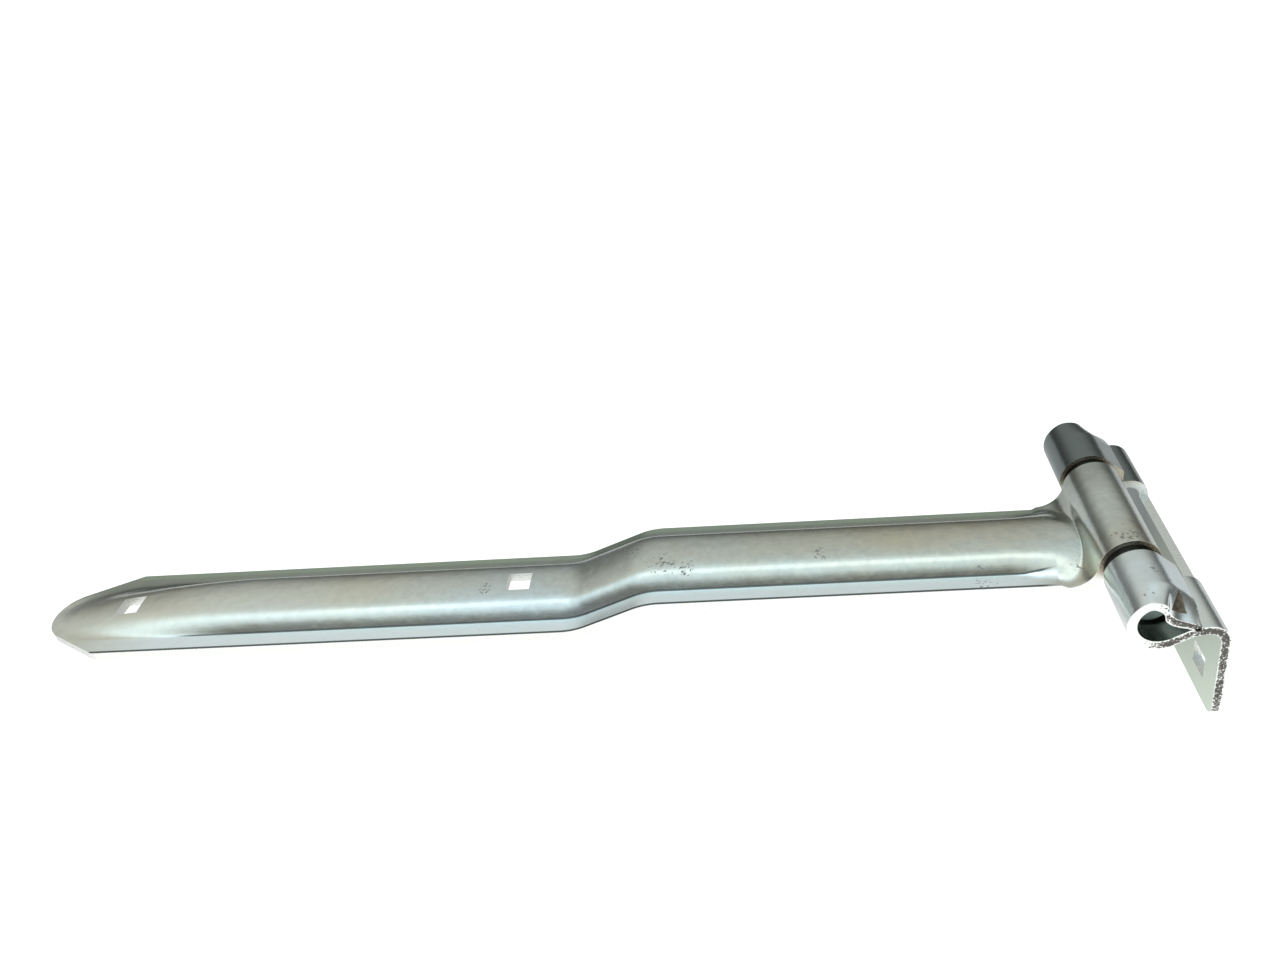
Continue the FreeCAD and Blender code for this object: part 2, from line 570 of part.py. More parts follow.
def main():
    axis, swing = pin_axis()
    pieces = {"strap_leaf": (strap_leaf(), FreeCAD.Rotation()),
              "frame_bracket": (frame_bracket(), swing),
              "hinge_pin": (hinge_pin(), swing)}
    for label, (piece, turn) in pieces.items():
        piece.Label = label
        piece.Placement = FreeCAD.Placement(axis, turn)
    DOC.recompute()
    for item in DOC.Objects:
        if "Invalid" in item.State or "Error" in item.State:
            raise RuntimeError("%s did not build: %s" % (item.Name, item.State))
    os.makedirs("parts", exist_ok=True)
    for label, (piece, turn) in pieces.items():
        shape = piece.Shape
        if shape.isNull() or not shape.isValid() or len(shape.Solids) != 1:
            raise RuntimeError("%s is not one sound solid" % label)
        shape.exportStep("parts/%s.step" % label)
        limits = shape.BoundBox
        print("%s %.0f mm3, %.1f x %.1f x %.1f mm" % (
            label, shape.Volume, limits.XLength, limits.YLength, limits.ZLength))
    print("pin axis at X %.3f Z %.3f" % (axis.x, axis.z))


main()
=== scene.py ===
"""A heavy T strap hinge of bright zinc-plated steel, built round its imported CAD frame.

Both leaves start as flat blanks, as they do in the press shop. A Geometry Nodes tree then
bends each blank along its side line, raises the strap's crown and squeezes the bracket's ends.
"""

import math

import bmesh
import bpy
from bpy.props import FloatProperty, PointerProperty, StringProperty
from mathutils import Matrix, Vector
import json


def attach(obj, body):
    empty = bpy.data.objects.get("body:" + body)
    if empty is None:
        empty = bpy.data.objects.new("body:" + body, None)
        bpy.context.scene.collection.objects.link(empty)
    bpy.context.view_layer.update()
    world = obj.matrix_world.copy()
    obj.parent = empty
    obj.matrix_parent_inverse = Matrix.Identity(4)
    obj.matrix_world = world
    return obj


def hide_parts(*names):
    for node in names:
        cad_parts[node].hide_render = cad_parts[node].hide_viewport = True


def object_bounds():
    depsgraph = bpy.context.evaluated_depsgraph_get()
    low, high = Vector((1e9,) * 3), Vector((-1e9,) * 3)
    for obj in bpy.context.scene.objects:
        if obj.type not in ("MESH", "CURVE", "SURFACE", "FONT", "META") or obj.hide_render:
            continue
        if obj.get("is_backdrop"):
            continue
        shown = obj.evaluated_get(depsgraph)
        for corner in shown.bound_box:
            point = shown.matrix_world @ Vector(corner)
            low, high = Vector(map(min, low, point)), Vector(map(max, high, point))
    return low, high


bl_info = {
    "name": "T Hinge Maker",
    "version": (1, 0, 0),
    "blender": (4, 5, 0),
    "location": "3D View > Sidebar > T Hinge",
    "description": "Builds a zinc-plated T strap hinge and a plain studio for it",
    "category": "Add Mesh",
}

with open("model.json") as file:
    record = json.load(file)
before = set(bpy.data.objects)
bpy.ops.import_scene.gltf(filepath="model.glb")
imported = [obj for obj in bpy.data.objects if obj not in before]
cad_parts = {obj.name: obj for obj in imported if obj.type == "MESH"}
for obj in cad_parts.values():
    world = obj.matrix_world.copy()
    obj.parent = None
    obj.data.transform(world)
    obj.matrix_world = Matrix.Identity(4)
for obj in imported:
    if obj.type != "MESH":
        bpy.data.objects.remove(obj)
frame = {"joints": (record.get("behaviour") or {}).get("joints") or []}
CAD_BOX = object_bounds()
SWING = frame["joints"][0]
AXIS = Vector(SWING["pos_m"])
LOWEST = CAD_BOX[0].z

MM = 0.001
LONG_AXIS = (0.0, -1.0, 0.0)  # the way the pin lies, square to both side lines


# ------------------------------------------------------------------ settings


def length(name, millimetres, description):
    return FloatProperty(name=name, description=description, default=millimetres * MM,
                         min=0.0, precision=5, subtype="DISTANCE", unit="LENGTH")


def angle(name, degrees, description):
    return FloatProperty(name=name, description=description, default=math.radians(degrees),
                         subtype="ANGLE", unit="ROTATION")


def share(name, value, description):
    return FloatProperty(name=name, description=description, default=value,
                         min=0.0, soft_max=1.0, subtype="FACTOR")


def colour(name, code, description):
    return StringProperty(name=name, description=description, default=code)


class StrapSizes(bpy.types.PropertyGroup):
    """Sizes of the strap leaf."""

    sheet: length("Sheet", 3.2, "Thickness of the strap's sheet")
    width: length("Width", 40.0, "Strap across its two flat edges")
    flare: length("Knuckle flare", 1.3, "Widening each side at the knuckle")
    reach: length("Reach", 369.0, "Pin axis to the strap's point")
    axis_height: length("Axis height", 8.65, "Pin axis above the flat edges")
    taper: length("Taper", 23.5, "The point back to where the strap narrows")
    nose: length("Nose radius", 12.0, "Rounding of the strap's point")
    step_depth: length("Step depth", 10.5, "Step between the two flat lengths")
    step_reach: length("Step reach", 153.8, "Pin axis to the upper bend of the step")
    step_run: length("Step run", 25.2, "Length of the step along the strap")
    step_radius: length("Step radius", 24.0, "Bend radius of the step")
    crown_width: length("Crown width", 27.2, "Raised middle across its foot")
    crown_rise: length("Crown rise", 6.1, "Height of the raised middle")
    crown_roof: length("Crown roof radius", 46.0, "Rounding of the raised middle's top")
    crown_slope: angle("Crown slope", 62.0, "Slope of the raised middle's sides")
    fade_margin: length("Fade margin", 2.0, "The point back to where the crown ends")
    fade_length: length("Fade length", 71.0, "Length over which the crown sinks")
    hole: length("Square hole", 8.3, "Square holes for carriage bolts")
    tip_hole: length("Tip hole", 29.1, "The point back to the outer square hole")
    mid_hole: length("Middle hole", 20.4, "Foot of the step to the inner square hole")
    wrap: angle("Wrap", 308.0, "How far the end is curled round the pin")
    edge: length("Edge rounding", 0.8, "Die roll along the strap's upper edges")
    flare_lead: length("Flare lead", 1.75, "End of the flat back to where the strap widens")
    shoulder: length("Shoulder blend", 6.6, "Rounding between the crown's roof and sides")
    foot: length("Foot blend", 0.35, "Rounding at the foot of the crown")
    far_foot: length("Far foot blend", 1.6, "Extra rounding at the crown's far foot")
    open_foot: length("Open foot blend", 3.2, "Rounding at the foot of the opened crown")
    open_lead: length("Open lead", 12.0, "End of the flat back to where the crown opens")
    open_past: length("Open past", 8.0, "End of the flat on to where it is fully open")
    open_half: length("Open half width", 19.2, "Half the width of the opened crown")
    open_slope: share("Open slope", 0.62, "Rise over run of the opened crown's sides")
    root: length("Root blend", 1.0, "Rounding where the crown meets the curl")


class BracketSizes(bpy.types.PropertyGroup):
    """Sizes of the frame bracket and its pin."""

    sheet: length("Sheet", 3.0, "Thickness of the bracket's sheet")
    width: length("Width", 95.6, "Bracket along the pin")
    bore: length("Bore radius", 6.4, "Inner radius of the knuckles")
    window_gap: length("Window gap", 3.9, "Gap each side of the strap's knuckle")
    sill_gap: length("Sill gap", 1.6, "Strap's knuckle to the window's lower edge")
    seat_run: length("Seat run", 8.9, "Free end to the outer face of the flange")
    leg: length("Flange leg", 39.7, "Flange below the seat")
    corner: length("Flange corner", 4.0, "Rounding of the flange's free corners")
    bend: length("Flange bend", 7.0, "Outer bend radius")
    seat_drop: length("Seat drop", 3.6, "Pin axis down to the seat")
    seat_roll: length("Seat roll", 10.0, "Bend radius where the seat dips")
    dip: angle("Dip", 25.0, "Slope of the dip")
    dip_ease: length("Dip ease", 0.8, "Extra radius under the pin")
    lap_gap: length("Lap gap", 0.25, "Free end above the seat")
    lap: angle("Lap", 45.0, "Slope of the free end")
    pin_recess: length("Pin recess", 7.8, "Bracket's end in to the pin's end")
    near_crimp: share("Near crimp", 1.0, "Squeeze at the end with the punch mark")
    far_crimp: share("Far crimp", 0.45, "Squeeze at the other end")
    punch: length("Punch size", 3.9, "Corner to middle of the punch mark")
    punch_reach: length("Punch reach", 4.9, "Pin axis across to the punch mark")
    punch_back: length("Punch back", 3.2, "Bracket's end in to the punch mark")
    punch_sink: length("Punch sink", 6.2, "Bottom of the mark below the unsqueezed lap")
    punch_turn: angle("Punch turn", 100.0, "Turn of the punch about its own axis")
    hole: length("Square hole", 8.5, "Square holes in the flange")
    hole_margin: length("Hole margin", 12.6, "Bracket's end in to a square hole")
    hole_drop: length("Hole drop", 26.6, "Seat down to the square holes")
    swing: angle("Rest swing", 5.6, "How far the bracket stands open from square")
    pin_radius: length("Pin radius", 6.35, "Radius of the pin")
    pin_bevel: length("Pin bevel", 0.8, "Bevel round the pin's ends")
    edge: length("Edge rounding", 0.3, "Rounding of the sheared edges")


class FinishColours(bpy.types.PropertyGroup):
    """Colours of the finishes, as sRGB hex codes."""

    zinc: colour("Zinc", "#CBCFC5", "Bright zinc over clean sheet")
    zinc_cool: colour("Bluish zinc", "#C8D2D2", "Bluish clouds in the zinc")
    zinc_warm: colour("Yellowish zinc", "#CCC9B6", "Yellowish clouds in the zinc")
    dull: colour("Dull zinc", "#A3A7A1", "Duller mottle in the zinc")
    # painted highlight: the strap's near flat and the near knuckle, bright and bluish
    light: colour("Light tone", "#EEF9FD", "Zone tone: the strap's near flat, the near knuckle")
    # painted shade: the bracket's far end and the far side of the strap's root
    grey: colour("Grey tone", "#6F7877", "Zone tone: the bracket's far end, the strap's root")
    # painted reflection: a darker greenish tone on the strap's far flat and the lower bracket
    painted_olive_reflection: colour("Olive tone", "#9DAB9A", "Zone tone: the strap's far flat, the flange")
    # painted shade on the crown's far slope
    painted_far_slope_shade: colour("Dusky tone", "#6F7972", "Zone tone: the crown's far slope")
    # painted highlight: the strap lighter towards its point
    painted_point_highlight: colour("Pale tone", "#E2E1D3", "Zone tone: the strap's point")
    # painted shade and reflection: thin dark lines along the strap
    painted_dark_lines: colour("Crease tone", "#3E4441", "Zone tone: thin dark lines along the strap")
    tan: colour("Tan edge", "#BDB5A4", "Sheared ends of the knuckles")
    shear: colour("Sheared edge", "#DCDDD8", "Zinc over torn steel")
    # the same dark colour also paints the shade in the gap where two knuckles face each other
    pit_and_gap_shade: colour("Torn steel", "#3B3833", "Pits in the sheared edges")
    stain: colour("Stain", "#574B3F", "Brown stains")
    grease: colour("Grease", "#857865", "Lighter brown in the punch mark")
    bar: colour("Bar", "#8E9294", "Drawn bar of the pin")
    floor: colour("Floor", "#FFFFFF", "Studio floor")


def linear(code):
    """An sRGB hex code as linear red, green, blue and alpha."""
    parts = [int(code[place:place + 2], 16) / 255 for place in (1, 3, 5)]
    parts = [part / 12.92 if part <= 0.04045 else ((part + 0.055) / 1.055) ** 2.4
             for part in parts]
    return (*parts, 1.0)


def add_node(tree, kind, inputs=(), **settings):
    """Adds one node with its settings and links, and returns its outputs."""
    made = tree.nodes.new(kind)
    for key, value in settings.items():
        setattr(made, key, value)
    pairs = inputs.items() if isinstance(inputs, dict) else enumerate(inputs)
    for key, value in pairs:
        if isinstance(value, bpy.types.NodeSocket):
            tree.links.new(value, made.inputs[key])
        else:
            made.inputs[key].default_value = value
    return made.outputs


# ----------------------------------------------------------------- materials

# Brown stains on the crown and knuckles: place in the row frame in mm, and radius in mm.
STAINS = ((-172, -6, 25, 10), (-183, 4, 23, 7), (-164, -9, 25, 6), (-68, -18, 21, 7),
          (-67, -13, 22, 5), (-44, 9, 25, 4), (-25, -18, 37, 10), (-22, -34, 37, 5),
          (-37, -14, 24, 6), (-235, -3, 15, 5), (-120, -5, 25, 6), (-20, -42, 32, 8),
          (-27, -43, 35, 5))
STAIN_CORE = 0.15  # share of a stain's radius that is at full strength


def stained(tree, place):
    """How near a point is to any of the stains, from 0 to 1."""
    near = 0.0
    for x, y, z, radius in STAINS:
        away = add_node(tree, "ShaderNodeVectorMath", (
            place, (x * MM, y * MM, z * MM)), operation="DISTANCE")["Value"]
        spot = add_node(tree, "ShaderNodeMapRange", (
            away, STAIN_CORE * radius * MM, radius * MM, 1.0, 0.0),
            interpolation_type="SMOOTHSTEP")[0]
        near = add_node(tree, "ShaderNodeMath", (spot, near), operation="MAXIMUM")[0]
    return near


def blank_material(name):
    """An empty node material, its tree and its principled shader."""
    material = bpy.data.materials.new(name)
    material.use_nodes = True
    tree = material.node_tree
    return material, tree, tree.nodes["Principled BSDF"]


# Painted light and shade laid over parts of a leaf: tones that stand for highlights,
# reflections and shade more than for the finish. They are matched for one view and one
# light, so for other light they can be left out.
# Each has its tone, how much of it, and the limits that fade it in: an axis of the row frame
# (0 to 2) and two places in mm.
STRAP_PAINTED_LIGHT = (
    # painted highlight: the strap lighter towards its point
    ("painted_point_highlight", 0.5, ((0, -180, -350),)),
    # painted highlight on the strap's near flat, fading out at the root and at the point
    ("light", 0.97, ((1, -13.0, -14.2), (0, -40, -58), (0, -388, -344))),
    # painted shade on the crown's far slope, away from the curl
    ("painted_far_slope_shade", 0.72, ((1, 4.0, 13.0), (0, -36, -48))),
    # painted reflection: greenish tone along the strap's far flat
    ("painted_olive_reflection", 0.9, ((1, 17.2, 18.2), (0, -36, -46))),
    # painted shade on the far side of the strap's root
    ("grey", 0.45, ((1, 2, 21), (0, -60, -34))),
    # painted shade: thin dark line along the crown's near foot
    ("painted_dark_lines", 0.9, ((1, -13.2, -13.5), (1, -13.95, -13.7), (0, -43.5, -49), (0, -346, -336))),
    # painted dark reflection: thin dark line along the strap's near edge
    ("painted_dark_lines", 0.9, ((1, -18.95, -19.3), (0, -44, -50))),
)
BRACKET_PAINTED_LIGHT = (
    # painted highlight on the upper near end of the bracket's knuckle
    ("light", 0.5, ((1, -18, -32), (2, 20, 26))),
    # painted reflection: greenish tone over the lower bracket and the flange
    ("painted_olive_reflection", 0.85, ((2, 25, 19),)),
    # painted shade: the bracket darker towards its far end
    ("grey", 0.95, ((1, -14, 24),)),
)
TEAR_STRAP = ((0, -330, -380),)
TEAR_BRACKET = ((0, -31, -18), (1, -36, -42))
RING_STRAP = ((0, -44, -38), (2, 22, 26))
# painted shade in the gap between knuckles: where along the pin it lies
GAP_SHADE_PLACE = ((1, -36, -30),)
RING_BRACKET = ((1, -36, -30), (2, 23, 27))
# painted shade in the gap between knuckles: its ring round the pin's axis
GAP_SHADE_RING = (8.35 * MM, 7.9 * MM)  # from the pin's axis: where it starts, and is full


def zone_share(tree, place, limits):
    """How far inside a zone a point lies, from 0 to 1."""
    axes = add_node(tree, "ShaderNodeSeparateXYZ", (place,))
    inside = 1.0
    for axis, start, end in limits:
        part = add_node(tree, "ShaderNodeMapRange", (
            axes[axis], start * MM, end * MM, 0.0, 1.0), interpolation_type="SMOOTHSTEP")[0]
        inside = add_node(tree, "ShaderNodeMath", (part, inside), operation="MULTIPLY")[0]
    return inside


def zinc_sheet(name, base, patch, grain_angle, painted_zones):
    """Bright zinc-plated steel: sheet pressed to shape, then plated.

    Thin plating keeps the sheet's fine grain, so highlights are soft and satin. Slow clouds
    tint it a little blue or yellow, and there are a few brown stains. Zone tones laid over
    it by place are painted highlights, reflections and shade.
    """
    finish = bpy.context.scene.hinge_finish
    material, tree, shader = blank_material(name)
    place = add_node(tree, "ShaderNodeTexCoord")["Object"]
    # 38 mm clouds of tint, drawn out along the leaf
    stretched = add_node(tree, "ShaderNodeMapping", {
        "Vector": place, "Rotation": (0, 0, grain_angle), "Scale": (0.45, 1.0, 1.0)})[0]
    film = add_node(tree, "ShaderNodeTexNoise", {
        "Vector": stretched, "Scale": 26.0, "Detail": 4.0, "Roughness": 0.55})[0]
    tint = add_node(tree, "ShaderNodeValToRGB", (film,))
    ramp = tint[0].node.color_ramp
    ramp.elements[0].position = 0.36
    ramp.elements[0].color = linear(finish.zinc_warm)
    ramp.elements[1].position = 0.66
    ramp.elements[1].color = linear(finish.zinc_cool)
    ramp.elements.new(0.5).color = linear(base)
    # 3 mm mottle
    mottle = add_node(tree, "ShaderNodeTexNoise", {
        "Vector": place, "Scale": 330.0, "Detail": 5.0, "Roughness": 0.62})[0]
    mottle_share = add_node(tree, "ShaderNodeMapRange", (mottle, 0.35, 0.7, 0.0, 0.34))[0]
    body = add_node(tree, "ShaderNodeMix", {
        0: mottle_share, 6: tint[0], 7: linear(patch)}, data_type="RGBA")[2]
    # painted highlights, reflections and shade, laid over the zinc by place
    for tone, most, limits in painted_zones:
        inside = zone_share(tree, place, limits)
        inside = add_node(tree, "ShaderNodeMath", (inside, most), operation="MULTIPLY")[0]
        body = add_node(tree, "ShaderNodeMix", {
            0: inside, 6: body, 7: linear(getattr(finish, tone))}, data_type="RGBA")[2]
    # 1 mm specks of stain, which gather at the listed places
    speck = add_node(tree, "ShaderNodeTexNoise", {
        "Vector": place, "Scale": 900.0, "Detail": 6.0, "Roughness": 0.72})[0]
    near = stained(tree, place)
    lowered = add_node(tree, "ShaderNodeMapRange", (near, 0.0, 1.0, 0.70, 0.53))[0]
    above = add_node(tree, "ShaderNodeMath", (speck, lowered), operation="SUBTRACT")[0]
    stain = add_node(tree, "ShaderNodeMapRange", (above, 0.0, 0.035, 0.0, 0.8))[0]
    final = add_node(tree, "ShaderNodeMix", {
        0: stain, 6: body, 7: linear(finish.stain)}, data_type="RGBA")[2]
    tree.links.new(final, shader.inputs["Base Color"])
    shine = add_node(tree, "ShaderNodeMapRange", (film, 0.3, 0.7, 0.19, 0.27))[0]
    rough = add_node(tree, "ShaderNodeMath", (stain, 0.4, shine), operation="MULTIPLY_ADD")[0]
    tree.links.new(rough, shader.inputs["Roughness"])
    solid = add_node(tree, "ShaderNodeMapRange", (stain, 0.0, 1.0, 1.0, 0.35))[0]
    tree.links.new(solid, shader.inputs["Metallic"])
    # grain 0.7 mm across and drawn out along the leaf, and slow 9 mm waves
    drawn = add_node(tree, "ShaderNodeMapping", {
        "Vector": place, "Rotation": (0, 0, grain_angle), "Scale": (0.12, 1.0, 1.0)})[0]
    grain = add_node(tree, "ShaderNodeTexNoise", {
        "Vector": drawn, "Scale": 1500.0, "Detail": 3.0})[0]
    wave = add_node(tree, "ShaderNodeTexNoise", {
        "Vector": place, "Scale": 105.0, "Detail": 2.0})[0]
    slow = add_node(tree, "ShaderNodeBump", {
        "Strength": 0.25, "Distance": 0.0006, "Height": wave})[0]
    slow = add_node(tree, "ShaderNodeBump", {
        "Strength": 0.35, "Distance": 0.00012, "Height": mottle, "Normal": slow})[0]
    fine = add_node(tree, "ShaderNodeBump", {
        "Strength": 0.10, "Distance": 0.00005, "Height": grain, "Normal": slow})[0]
    tree.links.new(fine, shader.inputs["Normal"])
    return material


def sheared_edge(name, tear, limits, ring):
    """Zinc over a sheared steel edge: the punch burnishes one part and tears the rest.

    The middle of the sheet's thickness tears and stays pitted, so it breaks the light up into
    bright and dark speckle. Both rims are brighter.
    """
    finish = bpy.context.scene.hinge_finish
    material, tree, shader = blank_material(name)
    shader.inputs["Metallic"].default_value = 1.0
    kind = "ShaderNodeMath"
    place = add_node(tree, "ShaderNodeTexCoord")["Object"]
    # 0.7 mm pits in torn steel
    torn = add_node(tree, "ShaderNodeTexNoise", {
        "Vector": place, "Scale": 1500.0, "Detail": 5.0, "Roughness": 0.75})[0]
    # 12 mm stretches that tore more than others
    stretch = add_node(tree, "ShaderNodeTexNoise", {
        "Vector": place, "Scale": 80.0, "Detail": 1.0})[0]
    edge = add_node(tree, "ShaderNodeMapRange", (stretch, 0.35, 0.65, 0.64, 0.74))[0]
    # the place through the thickness, 0 on one face and 1 on the other
    depth = add_node(tree, "ShaderNodeAttribute", attribute_name="depth")["Fac"]
    off = add_node(tree, kind, (depth, 0.55), operation="SUBTRACT")[0]
    off = add_node(tree, kind, (off,), operation="ABSOLUTE")[0]
    core = add_node(tree, "ShaderNodeMapRange", (off, 0.44, 0.30, 0.35, 1.0))[0]
    wide = add_node(tree, kind, (zone_share(tree, place, limits), tear), operation="MULTIPLY")[0]
    wide = add_node(tree, kind, (wide, core), operation="MULTIPLY")[0]
    edge = add_node(tree, kind, (edge, wide), operation="SUBTRACT")[0]
    above = add_node(tree, kind, (torn, edge), operation="SUBTRACT")[0]
    pits = add_node(tree, "ShaderNodeMapRange", (above, -0.02, 0.04, 0.0, 0.95))[0]
    clean = add_node(tree, "ShaderNodeMix", {
        0: zone_share(tree, place, ring), 6: linear(finish.shear), 7: linear(finish.tan)},
        data_type="RGBA")[2]
    # painted shade: a dark line in the gap where two knuckles face each other, matched
    off = add_node(tree, "ShaderNodeVectorMath", (place, tuple(AXIS)), operation="SUBTRACT")[0]
    off = add_node(tree, "ShaderNodeVectorMath", (off, (1.0, 0.0, 1.0)),
                   operation="MULTIPLY")[0]
    off = add_node(tree, "ShaderNodeVectorMath", (off,), operation="LENGTH")["Value"]
    painted_gap_shade = add_node(tree, "ShaderNodeMapRange", (off, *GAP_SHADE_RING, 0.0, 0.92))[0]
    painted_gap_shade = add_node(tree, kind, (painted_gap_shade, zone_share(tree, place, GAP_SHADE_PLACE)),
                      operation="MULTIPLY")[0]
    # the painted gap shade joins the pits in the same dark colour
    pits = add_node(tree, kind, (pits, painted_gap_shade), operation="MAXIMUM")[0]
    tone = add_node(tree, "ShaderNodeMix", {
        0: pits, 6: clean, 7: linear(finish.pit_and_gap_shade)}, data_type="RGBA")[2]
    tree.links.new(tone, shader.inputs["Base Color"])
    rough = add_node(tree, "ShaderNodeMapRange", (torn, 0.3, 0.7, 0.2, 0.4))[0]
    tree.links.new(rough, shader.inputs["Roughness"])
    bump = add_node(tree, "ShaderNodeBump", {
        "Strength": 0.55, "Distance": 0.0002, "Height": torn})[0]
    tree.links.new(bump, shader.inputs["Normal"])
    return material


def struck_steel(name):
    """The walls of the punch mark: dull brown, with a little metal shine. Matched."""
    finish = bpy.context.scene.hinge_finish
    material, tree, shader = blank_material(name)
    shader.inputs["Metallic"].default_value = 0.45
    place = add_node(tree, "ShaderNodeTexCoord")["Object"]
    # 1 mm blotches
    grime = add_node(tree, "ShaderNodeTexNoise", {
        "Vector": place, "Scale": 900.0, "Detail": 4.0, "Roughness": 0.65})[0]
    tone = add_node(tree, "ShaderNodeMapRange", (grime, 0.35, 0.65, 0.0, 1.0))[0]
    tone = add_node(tree, "ShaderNodeMix", {
        0: tone, 6: linear(finish.stain), 7: linear(finish.grease)}, data_type="RGBA")[2]
    tree.links.new(tone, shader.inputs["Base Color"])
    rough = add_node(tree, "ShaderNodeMapRange", (grime, 0.3, 0.7, 0.35, 0.6))[0]
    tree.links.new(rough, shader.inputs["Roughness"])
    return material


def drawn_bar(name):
    """Cold-drawn steel bar with thin zinc: fine lines run along it, so it is satin grey."""
    finish = bpy.context.scene.hinge_finish
    material, tree, shader = blank_material(name)
    shader.inputs["Metallic"].default_value = 1.0
    place = add_node(tree, "ShaderNodeTexCoord")["Object"]
    # drawing lines 0.4 mm apart, along the bar
    drawn = add_node(tree, "ShaderNodeMapping", {"Vector": place, "Scale": (1.0, 0.04, 1.0)})[0]
    lines = add_node(tree, "ShaderNodeTexNoise", {
        "Vector": drawn, "Scale": 2400.0, "Detail": 3.0})[0]
    tone = add_node(tree, "ShaderNodeMix", {
        0: lines, 6: linear(finish.bar), 7: linear(finish.dull)}, data_type="RGBA")[2]
    tree.links.new(tone, shader.inputs["Base Color"])
    rough = add_node(tree, "ShaderNodeMapRange", (lines, 0.3, 0.7, 0.26, 0.42))[0]
    tree.links.new(rough, shader.inputs["Roughness"])
    bump = add_node(tree, "ShaderNodeBump", {
        "Strength": 0.2, "Distance": 0.00004, "Height": lines})[0]
    tree.links.new(bump, shader.inputs["Normal"])
    return material


# ---------------------------------------------------------------- side lines


def straight(start, end, gap=0.004):
    """Points from start to end, in the XZ plane, no further apart than gap."""
    count = max(1, math.ceil(math.dist(start, end) / gap))
    return [(start[0] + (end[0] - start[0]) * step / count,
             start[1] + (end[1] - start[1]) * step / count) for step in range(count + 1)]


def bow(centre, radius, start, end, gap=2.0):
    """Points along an arc between two angles, given in degrees."""
    count = max(1, math.ceil(abs(end - start) / gap))
    turns = [math.radians(start + (end - start) * step / count) for step in range(count + 1)]
    return [(centre[0] + radius * math.cos(turn), centre[1] + radius * math.sin(turn))
            for turn in turns]


def chained(*runs):
    """One line from several runs, and the length along it where each run ends."""
    points, ends, travelled = [runs[0][0]], [], 0.0
    for run in runs:
        for point in run[1:]:
            travelled += math.dist(points[-1], point)
            points.append(point)
        ends.append(travelled)
    return points, ends


def strap_line(sizes, barrel):
    """The strap's upper face from the side: flat, step, flat, sweep and curl."""
    high = -sizes.axis_height
    low = high - sizes.step_depth
    radius = sizes.step_radius
    slope = math.degrees(math.atan2(sizes.step_depth, sizes.step_run))
    tangent = radius * math.tan(math.radians(slope / 2))
    foot = (-sizes.step_reach - sizes.step_run - tangent, low + radius)
    head = (-sizes.step_reach + tangent, high - radius)
    foot_bend = bow(foot, radius, 270, 270 + slope)
    head_bend = bow(head, radius, 90 + slope, 90)
    sweep = (-barrel - sizes.axis_height, 0.0)
    return chained(straight((-sizes.reach, low), foot_bend[0]), foot_bend,
                   straight(foot_bend[-1], head_bend[0]), head_bend,
                   straight(head_bend[-1], (sweep[0], high)),
                   bow(sweep, sizes.axis_height, 270, 360),
                   bow((0.0, 0.0), barrel, 180, 180 - math.degrees(sizes.wrap)))


def bracket_line(sizes):
    """The bracket's pin side: flange, bend, seat, dip, knuckle and free end."""
    bore, bend, roll = sizes.bore, sizes.bend, sizes.seat_roll
    lap_reach = (bore / math.cos(sizes.lap) + sizes.seat_drop - sizes.lap_gap) / math.tan(sizes.lap)
    face = lap_reach + sizes.seat_run
    seat = -sizes.seat_drop
    dip, slope = bore + sizes.dip_ease, math.degrees(sizes.dip)
    under = (sizes.dip_ease, 0.0)
    low = (under[0] + dip * math.sin(sizes.dip), -dip * math.cos(sizes.dip))
    left = seat - roll * (1 - math.cos(sizes.dip)) - low[1]
    roll_x = low[0] + left / math.tan(sizes.dip) + roll * math.sin(sizes.dip)
    rolled = bow((roll_x, seat - roll), roll, 90, 90 + slope)
    touch = 90 - math.degrees(sizes.lap)
    knuckle = bow((0.0, 0.0), bore, 180, touch)
    lap_end = (lap_reach, knuckle[-1][1] - (lap_reach - knuckle[-1][0]) * math.tan(sizes.lap))
    points, ends = chained(
        straight((face, seat - sizes.leg), (face, seat - bend)),
        bow((face - bend, seat - bend), bend, 0, 90),
        straight((face - bend, seat), rolled[0]), rolled, straight(rolled[-1], low),
        bow(under, dip, 270 + slope, 180), bow((0.0, 0.0), bore, 180, 135),
        bow((0.0, 0.0), bore, 135, touch), straight(knuckle[-1], lap_end))
    return points, ends, face


def line_object(name, points):
    """A side line as a curve object that a node tree can sample."""
    curve = bpy.data.curves.new(name, "CURVE")
    curve.dimensions = "3D"
    spline = curve.splines.new("POLY")
    spline.points.add(len(points) - 1)
    for point, (x, z) in zip(spline.points, points):
        point.co = (x, 0.0, z, 1.0)
    item = bpy.data.objects.new(name, curve)
    bpy.context.scene.collection.objects.link(item)
    return item


# -------------------------------------------------------------------- blanks


def stations(*stops):
    """Places along a blank: (place, gap) pairs, with even steps up to gap after each place."""
    places = [stops[0][0]]
    for (start, gap), (end, _) in zip(stops, stops[1:]):
        count = max(1, math.ceil((end - start) / gap - 1e-6))
        places += [start + (end - start) * step / count for step in range(1, count + 1)]
    return places


def grid_blank(name, rows, opened):
    """A flat blank from rows of points, without the cells whose middles are opened."""
    made = bmesh.new()
    verts = [[made.verts.new(point) for point in row] for row in rows]
    for lower, upper in zip(verts, verts[1:]):
        for index in range(len(lower) - 1):
            corners = (lower[index], lower[index + 1], upper[index + 1], upper[index])
            middle = sum((vert.co for vert in corners), Vector()) / 4
            if not opened(middle):
                made.faces.new(corners)
    bmesh.ops.delete(made, geom=[vert for vert in made.verts if not vert.link_faces],
                     context="VERTS")
    mesh = bpy.data.meshes.new(name)
    made.to_mesh(mesh)
    made.free()
    item = bpy.data.objects.new(name, mesh)
    bpy.context.scene.collection.objects.link(item)
    return item


def smooth_step(value):
    value = min(1.0, max(0.0, value))
    return value * value * (3 - 2 * value)


